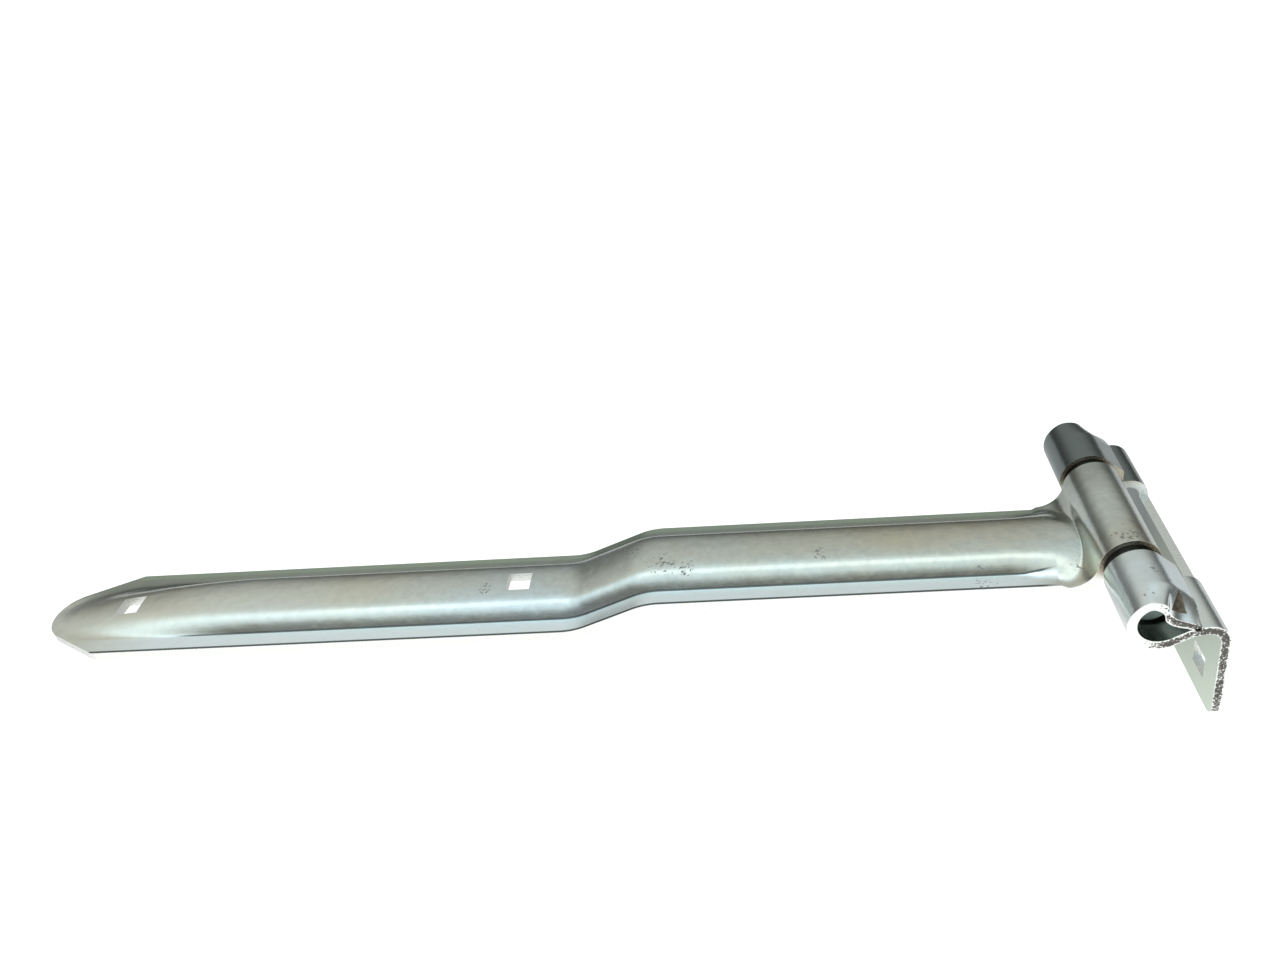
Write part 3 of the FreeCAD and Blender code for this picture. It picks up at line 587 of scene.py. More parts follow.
def strap_blank(sizes, ends, flare_start):
    """The strap before pressing: x is the length along it from the point, y is across."""
    half, nose, taper = sizes.width / 2, sizes.nose, sizes.taper
    lean = math.atan2(half, taper - nose) + math.acos(nose / math.hypot(taper - nose, half))
    touch = (nose + nose * math.cos(lean), nose * math.sin(lean))
    fade_start = sizes.fade_margin + sizes.fade_length
    crown = sizes.crown_width / 2

    def columns(along, side):
        """Rising places across half the strap: middle band, crown's shoulder, flat edge."""
        sunk = min(1.0, max(0.0, (fade_start - along) / sizes.fade_length))
        foot = max(crown * math.sqrt(1 - sunk ** 4), 0.36 * side)
        inner = min(5.0 * MM, 0.6 * foot)
        middle = [place / 5.0 * inner for place in (0, 1.4, 2.8, sizes.hole / MM / 2, 5.0)]
        shoulder = [inner + (foot - inner) * part for part in (
            .14, .28, .4, .5, .58, .65, .71, .77, .82, .87, .91, .945, .97, .985, 1)]
        edge = [foot + (side - foot) * part for part in (
            .02, .05, .1, .2, .35, .5, .65, .82, 1)]
        return middle + shoulder + edge

    def mirrored(places):
        return [-place for place in reversed(places[1:])] + places

    rows = []
    for turn in [step / 13 for step in range(13, 0, -1)]:
        side = half + (touch[1] - half) * turn
        along = taper + (touch[0] - taper) * turn
        row = []
        for place in mirrored(columns(along, side)):
            part = place / side
            bend = (math.pi - lean) * part
            rim = (nose - nose * math.cos(bend), nose * math.sin(bend))
            pull = turn * turn
            row.append((along + (rim[0] - touch[0]) * pull,
                        place + (rim[1] - part * touch[1]) * pull, 0.0))
        rows.append(row)
    step_foot, foot_end, step_end, head_end, flat_end, sweep_end, curl_end = ends
    tip = sizes.tip_hole
    mid = sizes.reach - sizes.step_reach - sizes.step_run - sizes.mid_hole
    gap = sizes.hole / 2
    for along in stations((taper, 2 * MM), (tip - gap, 1.5 * MM), (tip + gap, 2 * MM),
                          (fade_start, 4 * MM), (mid - gap, 4.2 * MM), (mid + gap, 4 * MM),
                          (step_foot, 0.8 * MM), (foot_end, 3 * MM), (step_end, 0.8 * MM),
                          (head_end, 5 * MM), (flare_start, 0.4 * MM), (flat_end, 0.36 * MM),
                          (sweep_end, 0.66 * MM), (curl_end, 1)):
        side = half + sizes.flare * smooth_step((along - flare_start) / (2 * sizes.flare))
        rows.append([(along, place, 0.0) for place in mirrored(columns(along, side))])

    def opened(middle):
        across = abs(middle.y) < gap
        return across and (abs(middle.x - tip) < gap or abs(middle.x - mid) < gap)

    return grid_blank("strap_leaf_pressed", rows, opened)


def bracket_blank(sizes, ends, window, sill):
    """The bracket before bending: a solid blank with its window, holes and sheared end."""
    half, corner, gap = sizes.width / 2, sizes.corner, sizes.hole / 2
    hole_y = half - sizes.hole_margin
    hole_x = sizes.leg - sizes.hole_drop
    crimp = half - sizes.pin_recess
    middle_rows = stations((corner, 2 * MM), (hole_x - gap, 2.2 * MM), (hole_x + gap, 2.5 * MM),
                           (sill, 0.6 * MM), (ends[0], 0.55 * MM), (ends[1], 2 * MM),
                           (ends[2], 0.7 * MM), (ends[3], 1 * MM), (ends[4], 0.6 * MM),
                           (ends[5], 0.6 * MM), (ends[6], 0.55 * MM), (ends[7], 0.5 * MM),
                           (ends[8], 1))
    fixed = stations((0.0, 6 * MM), (window, 2.5 * MM), (hole_y - gap, 2.2 * MM),
                     (hole_y + gap, 0.8 * MM), (crimp, 0.6 * MM))
    spare = stations((crimp, 0.6 * MM), (half, 1))[1:]

    def across(side):
        scale = (side - crimp) / (half - crimp)
        places = fixed + [crimp + (place - crimp) * scale for place in spare]
        return [-place for place in reversed(places[1:])] + places

    rows = []
    for step in range(8):
        turn = math.radians(90 * step / 8)
        side = half - corner + corner * math.sin(turn)
        along = corner * (1 - math.cos(turn))
        rows.append([(along, place, 0.0) for place in across(side)])
    rows += [[(along, place, 0.0) for place in across(half)] for along in middle_rows]

    def opened(middle):
        beside = abs(abs(middle.y) - hole_y) < gap and abs(middle.x - hole_x) < gap
        return beside or (abs(middle.y) < window and middle.x > sill)

    blank = grid_blank("frame_bracket_pressed", rows, opened)
    made = bmesh.new()
    made.from_mesh(blank.data)
    upper = bmesh.ops.extrude_face_region(made, geom=made.faces[:])["geom"]
    lap_start = ends[7]
    for vert in upper:
        if isinstance(vert, bmesh.types.BMVert):
            part = smooth_step((vert.co.x - lap_start) / (ends[8] - lap_start))
            vert.co.z = sizes.sheet
            vert.co.x -= sizes.sheet * math.tan(sizes.lap) * part
    bmesh.ops.recalc_face_normals(made, faces=made.faces[:])
    for face in made.faces:
        heights = [vert.co.z for vert in face.verts]
        face.material_index = int(max(heights) - min(heights) > sizes.sheet / 2)
    made.to_mesh(blank.data)
    made.free()
    return blank


# --------------------------------------------------------------- node trees


def new_tree(name, inputs):
    """A geometry node tree with named inputs, and its group input's outputs."""
    tree = bpy.data.node_groups.new(name, "GeometryNodeTree")
    tree.is_modifier = True
    tree.interface.new_socket("Geometry", in_out="INPUT", socket_type="NodeSocketGeometry")
    for label, kind in inputs:
        tree.interface.new_socket(label, in_out="INPUT", socket_type=kind)
    tree.interface.new_socket("Geometry", in_out="OUTPUT", socket_type="NodeSocketGeometry")
    return tree, add_node(tree, "NodeGroupInput")


def end_tree(tree, geometry, given, edges):
    """Ends a tree: real geometry, sheet material, and a second one on the sheared faces."""
    real = add_node(tree, "GeometryNodeRealizeInstances", (geometry,))[0]
    if edges:
        kept = add_node(tree, "GeometryNodeInputMaterialIndex")[0]
        kept = add_node(tree, "FunctionNodeCompare", {2: kept, 3: 0}, data_type="INT",
                        operation="EQUAL")[0]
        flagged = add_node(tree, "GeometryNodeCaptureAttribute")[0].node
        flagged.domain = "FACE"
        flagged.capture_items.new("BOOLEAN", "plain")
        tree.links.new(real, flagged.inputs[0])
        tree.links.new(kept, flagged.inputs[1])
        edged = add_node(tree, "GeometryNodeSetMaterial", {
            "Geometry": flagged.outputs[0], "Material": given["Edge"]})[0]
        real = add_node(tree, "GeometryNodeSetMaterial", {
            "Geometry": edged, "Selection": flagged.outputs[1], "Material": given["Sheet"]})[0]
    else:
        real = add_node(tree, "GeometryNodeSetMaterial", {
            "Geometry": real, "Material": given["Sheet"]})[0]
    add_node(tree, "NodeGroupOutput", (real,))


def side_line_fields(tree, given):
    """Fields of a blank's point: place along it, across it, above it, and the bent place."""
    here = add_node(tree, "GeometryNodeInputPosition")[0]
    flat = add_node(tree, "ShaderNodeSeparateXYZ", (here,))
    line = add_node(tree, "GeometryNodeObjectInfo", {"Object": given["Side Line"]})["Geometry"]
    bent = add_node(tree, "GeometryNodeSampleCurve", {"Curves": line, "Length": flat[0]},
                    mode="LENGTH", use_all_curves=True)
    square = add_node(tree, "ShaderNodeVectorMath", (LONG_AXIS, bent["Tangent"]),
                      operation="CROSS_PRODUCT")[0]
    return flat, bent["Position"], square


def strap_tree():
    """Bends the strap's blank along its side line and raises its crown."""
    floats = ("Crown Half Width", "Open Half Width", "Crown Rise", "Roof Radius", "Side Slope",
              "Open Slope", "Shoulder Blend", "Foot Blend", "Open Foot Blend", "Far Foot Blend",
              "Open Start", "Open End", "Fade Start", "Fade Length", "Curl Start", "Sweep End",
              "Flat Level", "Root Blend")
    tree, given = new_tree("press_strap", [("Side Line", "NodeSocketObject")]
                           + [(label, "NodeSocketFloat") for label in floats]
                           + [("Sheet", "NodeSocketMaterial")])
    flat, bent, square = side_line_fields(tree, given)
    kind = "ShaderNodeMath"
    # how far the crown has sunk at this place, and how narrow and low that leaves it
    short = add_node(tree, kind, (given["Fade Start"], flat[0]), operation="SUBTRACT")[0]
    sunk = add_node(tree, kind, (short, given["Fade Length"]), operation="DIVIDE",
                    use_clamp=True)[0]
    fourth = add_node(tree, kind, (sunk, 4.0), operation="POWER")[0]
    left = add_node(tree, kind, (1.0004, fourth), operation="SUBTRACT")[0]
    narrow = add_node(tree, kind, (left,), operation="SQRT")[0]
    quarter = add_node(tree, kind, (sunk, math.pi / 2), operation="MULTIPLY")[0]
    low = add_node(tree, kind, (quarter,), operation="COSINE")[0]
    # how far it has opened out on its way into the curl
    opened = add_node(tree, "ShaderNodeMapRange", (
        flat[0], given["Open Start"], given["Open End"], 0.0, 1.0),
        interpolation_type="SMOOTHSTEP")[0]
    looser = add_node(tree, kind, (opened, sunk), operation="MAXIMUM")[0]
    # the crown's section: a round roof that meets two sides, steep or opened out
    side = add_node(tree, kind, (flat[1],), operation="ABSOLUTE")[0]
    across = add_node(tree, kind, (side, narrow), operation="DIVIDE")[0]
    squared = add_node(tree, kind, (across, across), operation="MULTIPLY")[0]
    double = add_node(tree, kind, (given["Roof Radius"], 2.0), operation="MULTIPLY")[0]
    fall = add_node(tree, kind, (squared, double), operation="DIVIDE")[0]
    roof = add_node(tree, kind, (given["Crown Rise"], fall), operation="SUBTRACT")[0]
    reach = add_node(tree, "ShaderNodeMix", {
        0: opened, 2: given["Crown Half Width"], 3: given["Open Half Width"]})[0]
    inside = add_node(tree, kind, (reach, across), operation="SUBTRACT")[0]
    steep = add_node(tree, "ShaderNodeMix", {
        0: looser, 2: given["Side Slope"], 3: given["Open Slope"]})[0]
    flank = add_node(tree, kind, (inside, steep), operation="MULTIPLY")[0]
    upper = add_node(tree, kind, (roof, flank, given["Shoulder Blend"]),
                     operation="SMOOTH_MIN")[0]
    toe = add_node(tree, "ShaderNodeMix", {
        0: looser, 2: given["Foot Blend"], 3: given["Open Foot Blend"]})[0]
    is_far = add_node(tree, kind, (flat[1], 0.0), operation="GREATER_THAN")[0]
    toe = add_node(tree, kind, (is_far, given["Far Foot Blend"], toe),
                   operation="MULTIPLY_ADD")[0]
    raised = add_node(tree, kind, (upper, 0.0, toe), operation="SMOOTH_MAX")[0]
    height = add_node(tree, kind, (raised, low), operation="MULTIPLY")[0]
    # up to the curl the crown stands square on the bent sheet
    lifted = add_node(tree, "ShaderNodeVectorMath", {0: square, 3: height}, operation="SCALE")[0]
    stood = add_node(tree, "ShaderNodeVectorMath", (bent, lifted), operation="ADD")[0]
    # in the sweep it runs straight on until the sweep comes out of it
    swept = add_node(tree, "ShaderNodeSeparateXYZ", (bent,))
    level = add_node(tree, kind, (given["Flat Level"], height), operation="ADD")[0]
    blend = add_node(tree, kind, (given["Root Blend"], height), operation="MINIMUM")[0]
    joined = add_node(tree, kind, (swept[2], level, blend), operation="SMOOTH_MAX")[0]
    rooted = add_node(tree, "ShaderNodeCombineXYZ", (swept[0], 0.0, joined))[0]
    in_sweep = add_node(tree, kind, (flat[0], given["Curl Start"]), operation="GREATER_THAN")[0]
    in_curl = add_node(tree, kind, (flat[0], given["Sweep End"]), operation="GREATER_THAN")[0]
    shaped = add_node(tree, "GeometryNodeSwitch", {0: in_sweep, 1: stood, 2: rooted},
                      input_type="VECTOR")[0]
    curled = add_node(tree, "GeometryNodeSwitch", {0: in_curl, 1: shaped, 2: bent},
                      input_type="VECTOR")[0]
    aside = add_node(tree, "ShaderNodeCombineXYZ", (0.0, flat[1], 0.0))[0]
    final = add_node(tree, "ShaderNodeVectorMath", (curled, aside), operation="ADD")[0]
    moved = add_node(tree, "GeometryNodeSetPosition", {
        "Geometry": given["Geometry"], "Position": final})[0]
    end_tree(tree, moved, given, edges=False)
    return tree


# How a full squeeze moves the knuckle's inner and outer faces: place from the top of the
# curl to the free end, then the move right and up in mm.
SQUEEZE = {
    "inner": ((0, 0, 0), (.12, -.3, -.3), (.24, -.8, -1.3), (.36, -1.4, -2.6),
              (.47, -2.3, -4.6), (.77, -.2, -3.75), (1, 0, 0)),
    "outer": ((0, 0, 0), (.12, -.35, -.3), (.24, -.6, -1.3), (.36, -1.7, -2.4),
              (.47, -3.4, -4.0), (.77, -1.0, -3.9), (1, 0, -2.4)),
}
SQUEEZE_RANGE = 5.0  # the moves are kept as shares of this, in mm


def bracket_tree():
    """Bends the bracket's blank along its side line and squeezes its knuckle ends.

    Each point also keeps how deep it lies in the sheet, which the sheared edges' finish uses.
    """
    floats = ("Sheet Thickness", "Squeeze Start", "Line Length", "Crimp Start", "Half Width",
              "Near Crimp", "Far Crimp")
    tree, given = new_tree("press_bracket", [("Side Line", "NodeSocketObject")]
                           + [(label, "NodeSocketFloat") for label in floats]
                           + [("Sheet", "NodeSocketMaterial"), ("Edge", "NodeSocketMaterial")])
    flat, bent, square = side_line_fields(tree, given)
    kind = "ShaderNodeMath"
    lifted = add_node(tree, "ShaderNodeVectorMath", {0: square, 3: flat[2]}, operation="SCALE")[0]
    stood = add_node(tree, "ShaderNodeVectorMath", (bent, lifted), operation="ADD")[0]
    place = add_node(tree, "ShaderNodeMapRange", (
        flat[0], given["Squeeze Start"], given["Line Length"], 0.0, 1.0))[0]
    places = add_node(tree, "ShaderNodeCombineXYZ", (place, 0.0, place))[0]
    moves = []
    for face in ("inner", "outer"):
        curves = add_node(tree, "ShaderNodeVectorCurve", {1: places})
        mapping = curves[0].node.mapping
        for axis, column in ((0, 1), (2, 2)):
            points = mapping.curves[axis].points
            points[0].location = (-1.0, 0.0)
            points[1].location = (1.0, SQUEEZE[face][-1][column] / SQUEEZE_RANGE)
            for stop in SQUEEZE[face][:-1]:
                points.new(stop[0], stop[column] / SQUEEZE_RANGE)
        mapping.update()
        moves.append(curves[0])
    depth = add_node(tree, kind, (flat[2], given["Sheet Thickness"]), operation="DIVIDE")[0]
    move = add_node(tree, "ShaderNodeMix", {0: depth, 4: moves[0], 5: moves[1]},
                    data_type="VECTOR")[1]
    out = add_node(tree, kind, (flat[1],), operation="ABSOLUTE")[0]
    ramp = add_node(tree, "ShaderNodeMapRange", (
        out, given["Crimp Start"], given["Half Width"], 0.0, 1.0))[0]
    eased = add_node(tree, kind, (ramp, 1.25), operation="POWER")[0]
    is_near = add_node(tree, kind, (flat[1], 0.0), operation="LESS_THAN")[0]
    strength = add_node(tree, "ShaderNodeMix", {
        0: is_near, 2: given["Far Crimp"], 3: given["Near Crimp"]})[0]
    amount = add_node(tree, kind, (eased, strength), operation="MULTIPLY")[0]
    scaled = add_node(tree, kind, (amount, SQUEEZE_RANGE * MM), operation="MULTIPLY")[0]
    squeezed = add_node(tree, "ShaderNodeVectorMath", {0: move, 3: scaled}, operation="SCALE")[0]
    pressed = add_node(tree, "ShaderNodeVectorMath", (stood, squeezed), operation="ADD")[0]
    aside = add_node(tree, "ShaderNodeCombineXYZ", (0.0, flat[1], 0.0))[0]
    final = add_node(tree, "ShaderNodeVectorMath", (pressed, aside), operation="ADD")[0]
    noted = add_node(tree, "GeometryNodeStoreNamedAttribute", {
        "Geometry": given["Geometry"], "Name": "depth", "Value": depth},
        data_type="FLOAT", domain="POINT")[0]
    moved = add_node(tree, "GeometryNodeSetPosition", {
        "Geometry": noted, "Position": final})[0]
    end_tree(tree, moved, given, edges=True)
    return tree


def pin_tree():
    """Makes a round bar along Y from its radius and length."""
    tree, given = new_tree("turned_bar", [("Radius", "NodeSocketFloat"),
                                          ("Half Length", "NodeSocketFloat"),
                                          ("Sheet", "NodeSocketMaterial")])
    back = add_node(tree, "ShaderNodeMath", (given["Half Length"], -1.0),
                    operation="MULTIPLY")[0]
    start = add_node(tree, "ShaderNodeCombineXYZ", (0.0, back, 0.0))[0]
    end = add_node(tree, "ShaderNodeCombineXYZ", (0.0, given["Half Length"], 0.0))[0]
    path = add_node(tree, "GeometryNodeCurvePrimitiveLine", {"Start": start, "End": end})[0]
    ring = add_node(tree, "GeometryNodeCurvePrimitiveCircle", {
        "Resolution": 96, "Radius": given["Radius"]})[0]
    bar = add_node(tree, "GeometryNodeCurveToMesh", {
        "Curve": path, "Profile Curve": ring, "Fill Caps": True})[0]
    end_tree(tree, bar, given, edges=False)
    return tree


def run_tree(item, tree, values):
    """Runs a tree on a piece with its inputs set, and keeps the result as a plain mesh."""
    modifier = item.modifiers.new(tree.name, "NODES")
    modifier.node_group = tree
    for socket in tree.interface.items_tree:
        if socket.item_type == "SOCKET" and socket.in_out == "INPUT" and socket.name in values:
            modifier[socket.identifier] = values[socket.name]
    settle(item)


def settle(item):
    """Replaces a piece's mesh by its evaluated one and drops its modifiers."""
    graph = bpy.context.evaluated_depsgraph_get()
    graph.update()
    mesh = bpy.data.meshes.new_from_object(item.evaluated_get(graph),
                                           preserve_all_data_layers=True, depsgraph=graph)
    item.modifiers.clear()
    old = item.data
    item.data = mesh
    bpy.data.meshes.remove(old)
    if not mesh.polygons:
        raise RuntimeError("%s came out empty" % item.name)


def round_edges(item, width, limit, part_at=lambda middle: 1.0):
    """Rounds sharp edges, each by its share of the width, and evens the shading beside them."""
    made = bmesh.new()
    made.from_mesh(item.data)
    weight = made.edges.layers.float.new("bevel_weight_edge")
    for edge in made.edges:
        if edge.calc_face_angle(0.0) > math.radians(limit):
            edge[weight] = part_at((edge.verts[0].co + edge.verts[1].co) / 2)
    made.to_mesh(item.data)
    made.free()
    bevel = item.modifiers.new("edges", "BEVEL")
    bevel.width = width
    bevel.segments = 4
    bevel.limit_method = "WEIGHT"
    settle(item)
    for face in item.data.polygons:
        face.use_smooth = True
    item.data.set_sharp_from_angle(angle=math.radians(48))
    weighted = item.modifiers.new("shading", "WEIGHTED_NORMAL")
    weighted.keep_sharp = True
    settle(item)


def place_piece(item, matrix, body, node):
    """Moves a piece's mesh to its place, gives it its body, and hides the CAD node it stands for.
    """
    item.data.transform(matrix)
    item.data.update()
    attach(item, body)
    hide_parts(node)


# ----------------------------------------------------------------- operators


class HINGE_OT_strap_leaf(bpy.types.Operator):
    """Press the strap leaf from its flat blank"""

    bl_idname = "hinge.strap_leaf"
    bl_label = "Strap Leaf"

    def execute(self, context):
        sizes, bracket = context.scene.hinge_strap, context.scene.hinge_bracket
        finish = context.scene.hinge_finish
        barrel = bracket.bore + sizes.sheet
        points, ends = strap_line(sizes, barrel)
        flat_end, sweep_end = ends[4], ends[5]
        flare_start = flat_end - sizes.flare_lead
        line = line_object("strap_side_line", points)
        leaf = strap_blank(sizes, ends, flare_start)
        sheet = zinc_sheet("zinc_plated_strap_with_painted_light", finish.zinc, finish.dull, 0.0,
                           STRAP_PAINTED_LIGHT)
        run_tree(leaf, strap_tree(), {
            "Side Line": line, "Crown Half Width": sizes.crown_width / 2,
            "Crown Rise": sizes.crown_rise, "Roof Radius": sizes.crown_roof,
            "Side Slope": math.tan(sizes.crown_slope), "Shoulder Blend": sizes.shoulder,
            "Foot Blend": sizes.foot, "Open Foot Blend": sizes.open_foot,
            "Far Foot Blend": sizes.far_foot, "Open Slope": sizes.open_slope,
            "Open Half Width": sizes.open_half, "Open Start": flat_end - sizes.open_lead,
            "Open End": flat_end + sizes.open_past,
            "Fade Start": sizes.fade_margin + sizes.fade_length,
            "Fade Length": sizes.fade_length, "Curl Start": flat_end, "Sweep End": sweep_end,
            "Flat Level": -sizes.axis_height, "Root Blend": sizes.root, "Sheet": sheet})
        bpy.data.objects.remove(line)
        leaf.data.materials.append(sheared_edge("sheared_edge_and_gap_shade_strap", 0.12,
                                                TEAR_STRAP, RING_STRAP))
        made = bmesh.new()
        made.from_mesh(leaf.data)
        if sum(face.normal.z for face in made.faces if face.calc_center_median().x < -0.1) < 0:
            bmesh.ops.reverse_faces(made, faces=made.faces[:])
        made.to_mesh(leaf.data)
        made.free()
        wall = leaf.modifiers.new("sheet", "SOLIDIFY")
        wall.thickness = sizes.sheet
        wall.offset = -1.0
        wall.use_even_offset = True
        wall.material_offset_rim = 1
        settle(leaf)
        round_edges(leaf, sizes.edge, 50, die_roll(sizes))
        place_piece(leaf, Matrix.Translation(AXIS), "strap", "strap_leaf")
        return {"FINISHED"}


def die_roll(sizes):
    """Full rounding on the strap's upper outer edges, and little on the rest."""
    def part_at(middle):
        outer = abs(middle.y) > sizes.width / 2 - 0.2 * MM or middle.x < sizes.taper - sizes.reach
        level = -sizes.axis_height - (sizes.step_depth if middle.x < -sizes.step_reach else 0)
        curl = middle.x > -19 * MM
        upper = curl or middle.z > level - sizes.sheet / 2 - 3 * MM * (middle.x > -190 * MM)
        return (1.0 if upper else 0.4) if outer else 0.35
    return part_at


class HINGE_OT_frame_bracket(bpy.types.Operator):
    """Bend the frame bracket from its flat blank and squeeze its ends"""

    bl_idname = "hinge.frame_bracket"
    bl_label = "Frame Bracket"

    def execute(self, context):
        sizes, strap = context.scene.hinge_bracket, context.scene.hinge_strap
        finish = context.scene.hinge_finish
        points, ends, face = bracket_line(sizes)
        window = strap.width / 2 + strap.flare + sizes.window_gap
        sill = sizes.leg + sizes.seat_drop - (sizes.bore + strap.sheet + sizes.sill_gap)
        line = line_object("bracket_side_line", points)
        leaf = bracket_blank(sizes, ends, window, sill)
        run_tree(leaf, bracket_tree(), {
            "Side Line": line, "Sheet Thickness": sizes.sheet, "Squeeze Start": ends[6],
            "Line Length": ends[8], "Crimp Start": sizes.width / 2 - sizes.pin_recess,
            "Half Width": sizes.width / 2, "Near Crimp": sizes.near_crimp,
            "Far Crimp": sizes.far_crimp,
            "Sheet": zinc_sheet("zinc_plated_bracket_with_painted_light", finish.zinc, finish.dull,
                                math.pi / 2, BRACKET_PAINTED_LIGHT),
            "Edge": sheared_edge("sheared_edge_and_gap_shade_bracket", 0.28, TEAR_BRACKET, RING_BRACKET)})
        bpy.data.objects.remove(line)
        made = bmesh.new()
        made.from_mesh(leaf.data)
        bmesh.ops.recalc_face_normals(made, faces=made.faces[:])
        made.to_mesh(leaf.data)
        made.free()
        round_edges(leaf, sizes.edge, 50)
        strike_punch(leaf, sizes)
        place_piece(leaf, bracket_place(sizes), "bracket", "frame_bracket")
        return {"FINISHED"}


PUNCH_TAPER = ((0.8, 0.0), (1.3, 1.6))  # radius and height of its two ends, in punch sizes


def strike_punch(item, sizes):
    """Drives a tapered three-sided punch into the lap over the pin's near end."""
    made = bmesh.new()
    rings = []
    for radius, level in PUNCH_TAPER:
        turns = [math.radians(120 * corner) for corner in range(3)]
        rings.append([made.verts.new((
            sizes.punch * radius * math.cos(turn), sizes.punch * radius * math.sin(turn),
            sizes.punch * level)) for turn in turns])
    made.faces.new(reversed(rings[0]))
    made.faces.new(rings[1])
    for corner in range(3):
        after = (corner + 1) % 3
        made.faces.new((rings[0][corner], rings[0][after], rings[1][after], rings[1][corner]))
    bmesh.ops.recalc_face_normals(made, faces=made.faces[:])
    mesh = bpy.data.meshes.new("punch")
    made.to_mesh(mesh)
    made.free()
    outer = sizes.bore + sizes.sheet
    level = outer / math.cos(sizes.lap) - sizes.punch_reach * math.tan(sizes.lap)
    mesh.transform(Matrix.Translation((
        sizes.punch_reach, sizes.punch_back - sizes.width / 2, level - sizes.punch_sink))
        @ Matrix.Rotation(sizes.lap, 4, "Y") @ Matrix.Rotation(sizes.punch_turn, 4, "Z"))
    mesh.materials.append(struck_steel("struck_steel_punch_mark"))
    punch = bpy.data.objects.new("punch", mesh)
    bpy.context.scene.collection.objects.link(punch)
    cut = item.modifiers.new("punch", "BOOLEAN")
    cut.operation = "DIFFERENCE"
    cut.solver = "EXACT"
    cut.material_mode = "TRANSFER"
    cut.object = punch
    before = len(item.data.polygons)
    settle(item)
    bpy.data.objects.remove(punch)
    if len(item.data.polygons) == before:
        raise RuntimeError("The punch missed the lap")


def bracket_place(sizes):
    return Matrix.Translation(AXIS) @ Matrix.Rotation(sizes.swing, 4, Vector(LONG_AXIS))


class HINGE_OT_hinge_pin(bpy.types.Operator):
    """Turn the plain pin"""

    bl_idname = "hinge.hinge_pin"
    bl_label = "Hinge Pin"

    def execute(self, context):
        sizes = context.scene.hinge_bracket
        pin = bpy.data.objects.new("hinge_pin_bar", bpy.data.meshes.new("hinge_pin_bar"))
        context.scene.collection.objects.link(pin)
        run_tree(pin, pin_tree(), {
            "Radius": sizes.pin_radius, "Half Length": sizes.width / 2 - sizes.pin_recess,
            "Sheet": drawn_bar("drawn_steel_bar")})
        made = bmesh.new()
        made.from_mesh(pin.data)
        bmesh.ops.remove_doubles(made, verts=made.verts[:], dist=1e-7)
        bmesh.ops.recalc_face_normals(made, faces=made.faces[:])
        made.to_mesh(pin.data)
        made.free()
        round_edges(pin, sizes.pin_bevel, 50)
        place_piece(pin, bracket_place(sizes), "bracket", "hinge_pin")
        return {"FINISHED"}


class HINGE_OT_studio(bpy.types.Operator):
    """Set up the floor, the soft light and the camera"""

    bl_idname = "hinge.studio"
    bl_label = "Studio"

    def execute(self, context):
        scene = context.scene
        make_floor(scene)
        make_sky(scene)
        make_softbox("overhead_softbox", (-0.15, -0.15, 0.75), (0.9, 0.4), 0.45)
        make_camera(scene)
        scene.view_settings.view_transform = "Standard"
        return {"FINISHED"}


FLOOR_HALF = 4.0
FLOOR_GAP = 0.0002  # below the lowest point
FLOOR_GLOW = (-0.06, 0.03, 1.3, 0.5)  # between two places in y, from this much to that


def make_floor(scene):
    """A floor, plain white to the camera. Other rays get a graded light, matched."""
    mesh = bpy.data.meshes.new("floor")
    size, level = FLOOR_HALF, LOWEST - FLOOR_GAP
    mesh.from_pydata([(-size, -size, level), (size, -size, level), (size, size, level),
                      (-size, size, level)], [], [(0, 1, 2, 3)])
    floor = bpy.data.objects.new("floor", mesh)
    scene.collection.objects.link(floor)
    material, tree, shader = blank_material("lit_white_table")
    shader.inputs["Base Color"].default_value = (0.25, 0.25, 0.25, 1.0)
    shader.inputs["Roughness"].default_value = 1.0
    shader.inputs["Specular IOR Level"].default_value = 0.0
    shader.inputs["Emission Color"].default_value = linear(scene.hinge_finish.floor)
    place = add_node(tree, "ShaderNodeSeparateXYZ", (
        add_node(tree, "ShaderNodeTexCoord")["Object"],))
    lit = add_node(tree, "ShaderNodeMapRange", (place[1], *FLOOR_GLOW),
                   interpolation_type="SMOOTHSTEP")[0]
    seen = add_node(tree, "ShaderNodeLightPath")["Is Camera Ray"]
    glow = add_node(tree, "ShaderNodeMath", (seen, lit), operation="MAXIMUM")[0]
    tree.links.new(glow, shader.inputs["Emission Strength"])
    mesh.materials.append(material)
    floor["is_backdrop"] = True


# Brightness of the room by height (the sine of the angle above the horizon), on the side
# away from the camera and on its own side. Matched together with the zinc's tones.
FAR_SKY = ((0.0, 0.10), (0.16, 0.14), (0.30, 0.23), (0.42, 0.40), (0.52, 0.58), (0.64, 0.66),
           (0.80, 0.74), (0.91, 1.0), (1.0, 1.4))
NEAR_SKY = ((0.0, 0.12), (0.31, 0.15), (0.39, 0.30), (0.48, 0.76), (0.62, 1.15), (0.82, 1.35),
            (1.0, 1.4))


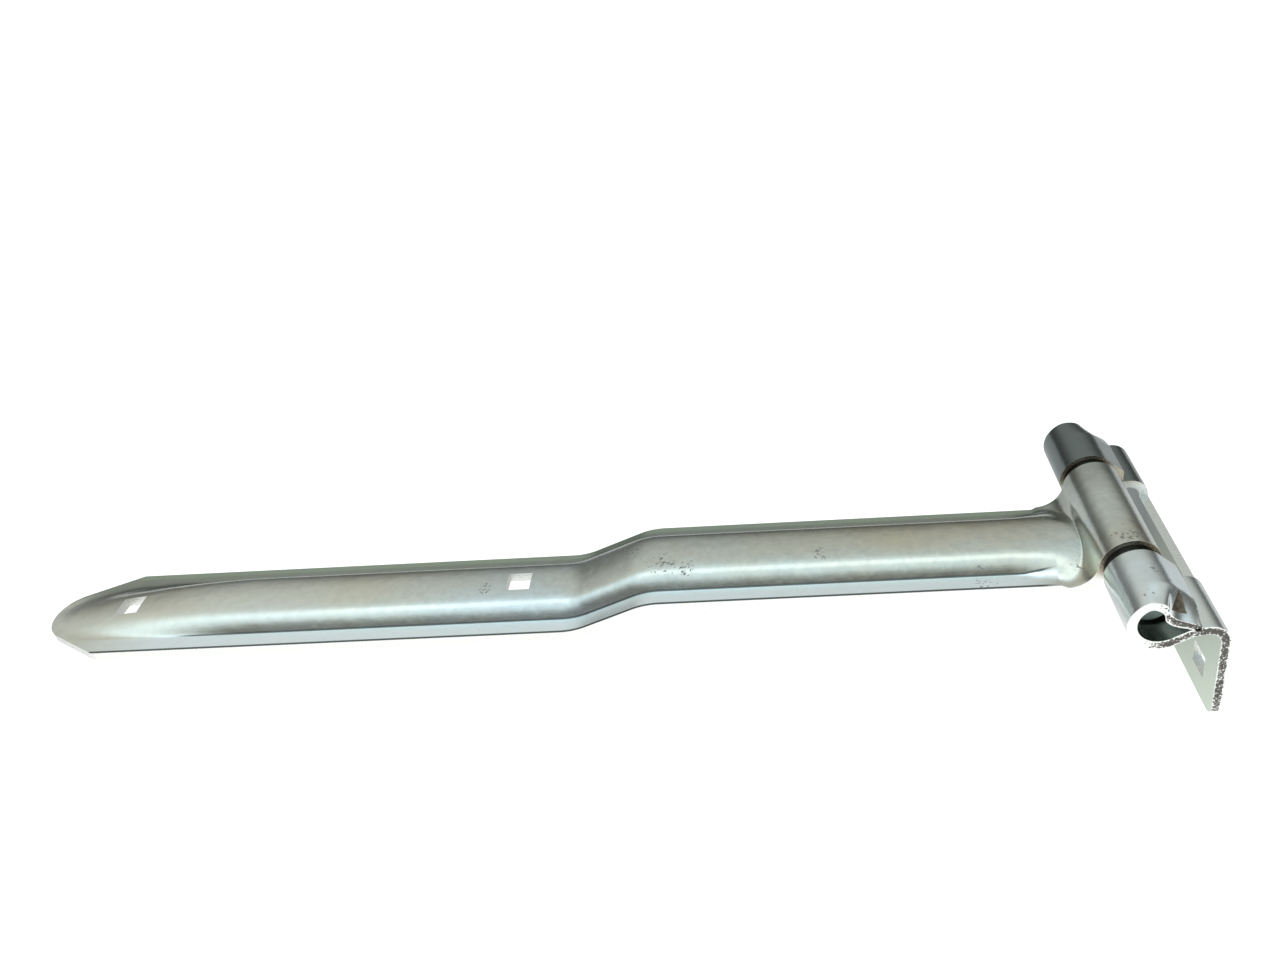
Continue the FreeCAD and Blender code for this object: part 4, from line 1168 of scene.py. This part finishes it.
def make_sky(scene):
    """A soft room, plain white to the camera. Other rays get it dim low down and bright above."""
    world = bpy.data.worlds.new("soft_room")
    world.use_nodes = True
    scene.world = world
    tree = world.node_tree
    tree.nodes.clear()
    toward = add_node(tree, "ShaderNodeTexCoord")["Generated"]
    split = add_node(tree, "ShaderNodeSeparateXYZ", (toward,))
    tones = []
    for stops, blue_from in ((FAR_SKY, 0.7), (NEAR_SKY, 0.3)):
        ramp = add_node(tree, "ShaderNodeValToRGB", (split[2],))
        elements = ramp[0].node.color_ramp.elements
        while len(elements) < len(stops):
            elements.new(0.5)
        for element, (place, value) in zip(elements, stops):
            cool = smooth_step((place - blue_from) / 0.3)
            element.position = place
            element.color = (value * (0.985 - 0.13 * cool), value,
                             value * (0.955 + 0.13 * cool), 1.0)
        tones.append(ramp[0])
    side = add_node(tree, "ShaderNodeMapRange", (split[1], -0.25, 0.25, 1.0, 0.0))[0]
    room = add_node(tree, "ShaderNodeMix", {0: side, 6: tones[0], 7: tones[1]},
                    data_type="RGBA")[2]
    seen = add_node(tree, "ShaderNodeLightPath")["Is Camera Ray"]
    shown = add_node(tree, "ShaderNodeMix", {0: seen, 6: room, 7: (1.0, 1.0, 1.0, 1.0)},
                     data_type="RGBA")[2]
    # a little brighter beyond the strap's point
    gain = add_node(tree, "ShaderNodeMapRange", (split[0], -0.62, -0.05, 1.18, 1.0))[0]
    gain = add_node(tree, "ShaderNodeMath", (gain, 1.0), operation="MAXIMUM")[0]
    light = add_node(tree, "ShaderNodeBackground", {"Color": shown, "Strength": gain})[0]
    add_node(tree, "ShaderNodeOutputWorld", {"Surface": light})


def make_softbox(name, place, size, power):
    """A rectangular soft light that looks straight down."""
    light = bpy.data.lights.new(name, "AREA")
    light.shape = "RECTANGLE"
    light.size, light.size_y = size
    light.energy = power
    item = bpy.data.objects.new(name, light)
    item.location = place
    bpy.context.scene.collection.objects.link(item)


# Where the camera stands and how it is turned, from a fit to the edges, holes and knuckles.
CAMERA_PLACE = (-0.135455, -0.264490, 0.242224)
CAMERA_TURNS = (55.076, 4.2406, 0.7548)  # about X, Y and Z, in degrees
CAMERA_LENS = 28.46
CAMERA_SHIFT = (-0.0575, -0.0087)


def make_camera(scene):
    """The camera above and before the strap, looking down along the hinge."""
    data = bpy.data.cameras.new("camera")
    data.lens = CAMERA_LENS
    data.sensor_width = 36.0
    data.shift_x, data.shift_y = CAMERA_SHIFT
    data.clip_start = 0.01
    camera = bpy.data.objects.new("camera", data)
    scene.collection.objects.link(camera)
    camera.location = CAMERA_PLACE
    camera.rotation_euler = [math.radians(turn) for turn in CAMERA_TURNS]
    scene.camera = camera


class HINGE_PT_maker(bpy.types.Panel):
    """Lists the steps that make the hinge"""

    bl_label = "T Hinge"
    bl_idname = "HINGE_PT_maker"
    bl_space_type = "VIEW_3D"
    bl_region_type = "UI"
    bl_category = "T Hinge"

    def draw(self, context):
        for step in STEPS:
            self.layout.operator(step.bl_idname)
        for group in ("hinge_strap", "hinge_bracket", "hinge_finish"):
            box = self.layout.box()
            settings = getattr(context.scene, group)
            for name in settings.__annotations__:
                box.prop(settings, name)


STEPS = (HINGE_OT_strap_leaf, HINGE_OT_frame_bracket, HINGE_OT_hinge_pin, HINGE_OT_studio)
CLASSES = (StrapSizes, BracketSizes, FinishColours) + STEPS + (HINGE_PT_maker,)


def register():
    for item in CLASSES:
        bpy.utils.register_class(item)
    bpy.types.Scene.hinge_strap = PointerProperty(type=StrapSizes)
    bpy.types.Scene.hinge_bracket = PointerProperty(type=BracketSizes)
    bpy.types.Scene.hinge_finish = PointerProperty(type=FinishColours)


def unregister():
    del bpy.types.Scene.hinge_finish
    del bpy.types.Scene.hinge_bracket
    del bpy.types.Scene.hinge_strap
    for item in reversed(CLASSES):
        bpy.utils.unregister_class(item)


def main():
    register()
    bpy.ops.hinge.strap_leaf()
    bpy.ops.hinge.frame_bracket()
    bpy.ops.hinge.hinge_pin()
    bpy.ops.hinge.studio()
    boxes = [[list(corner) for corner in box] for box in (CAD_BOX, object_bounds())]


if __name__ == "__main__":
    main()
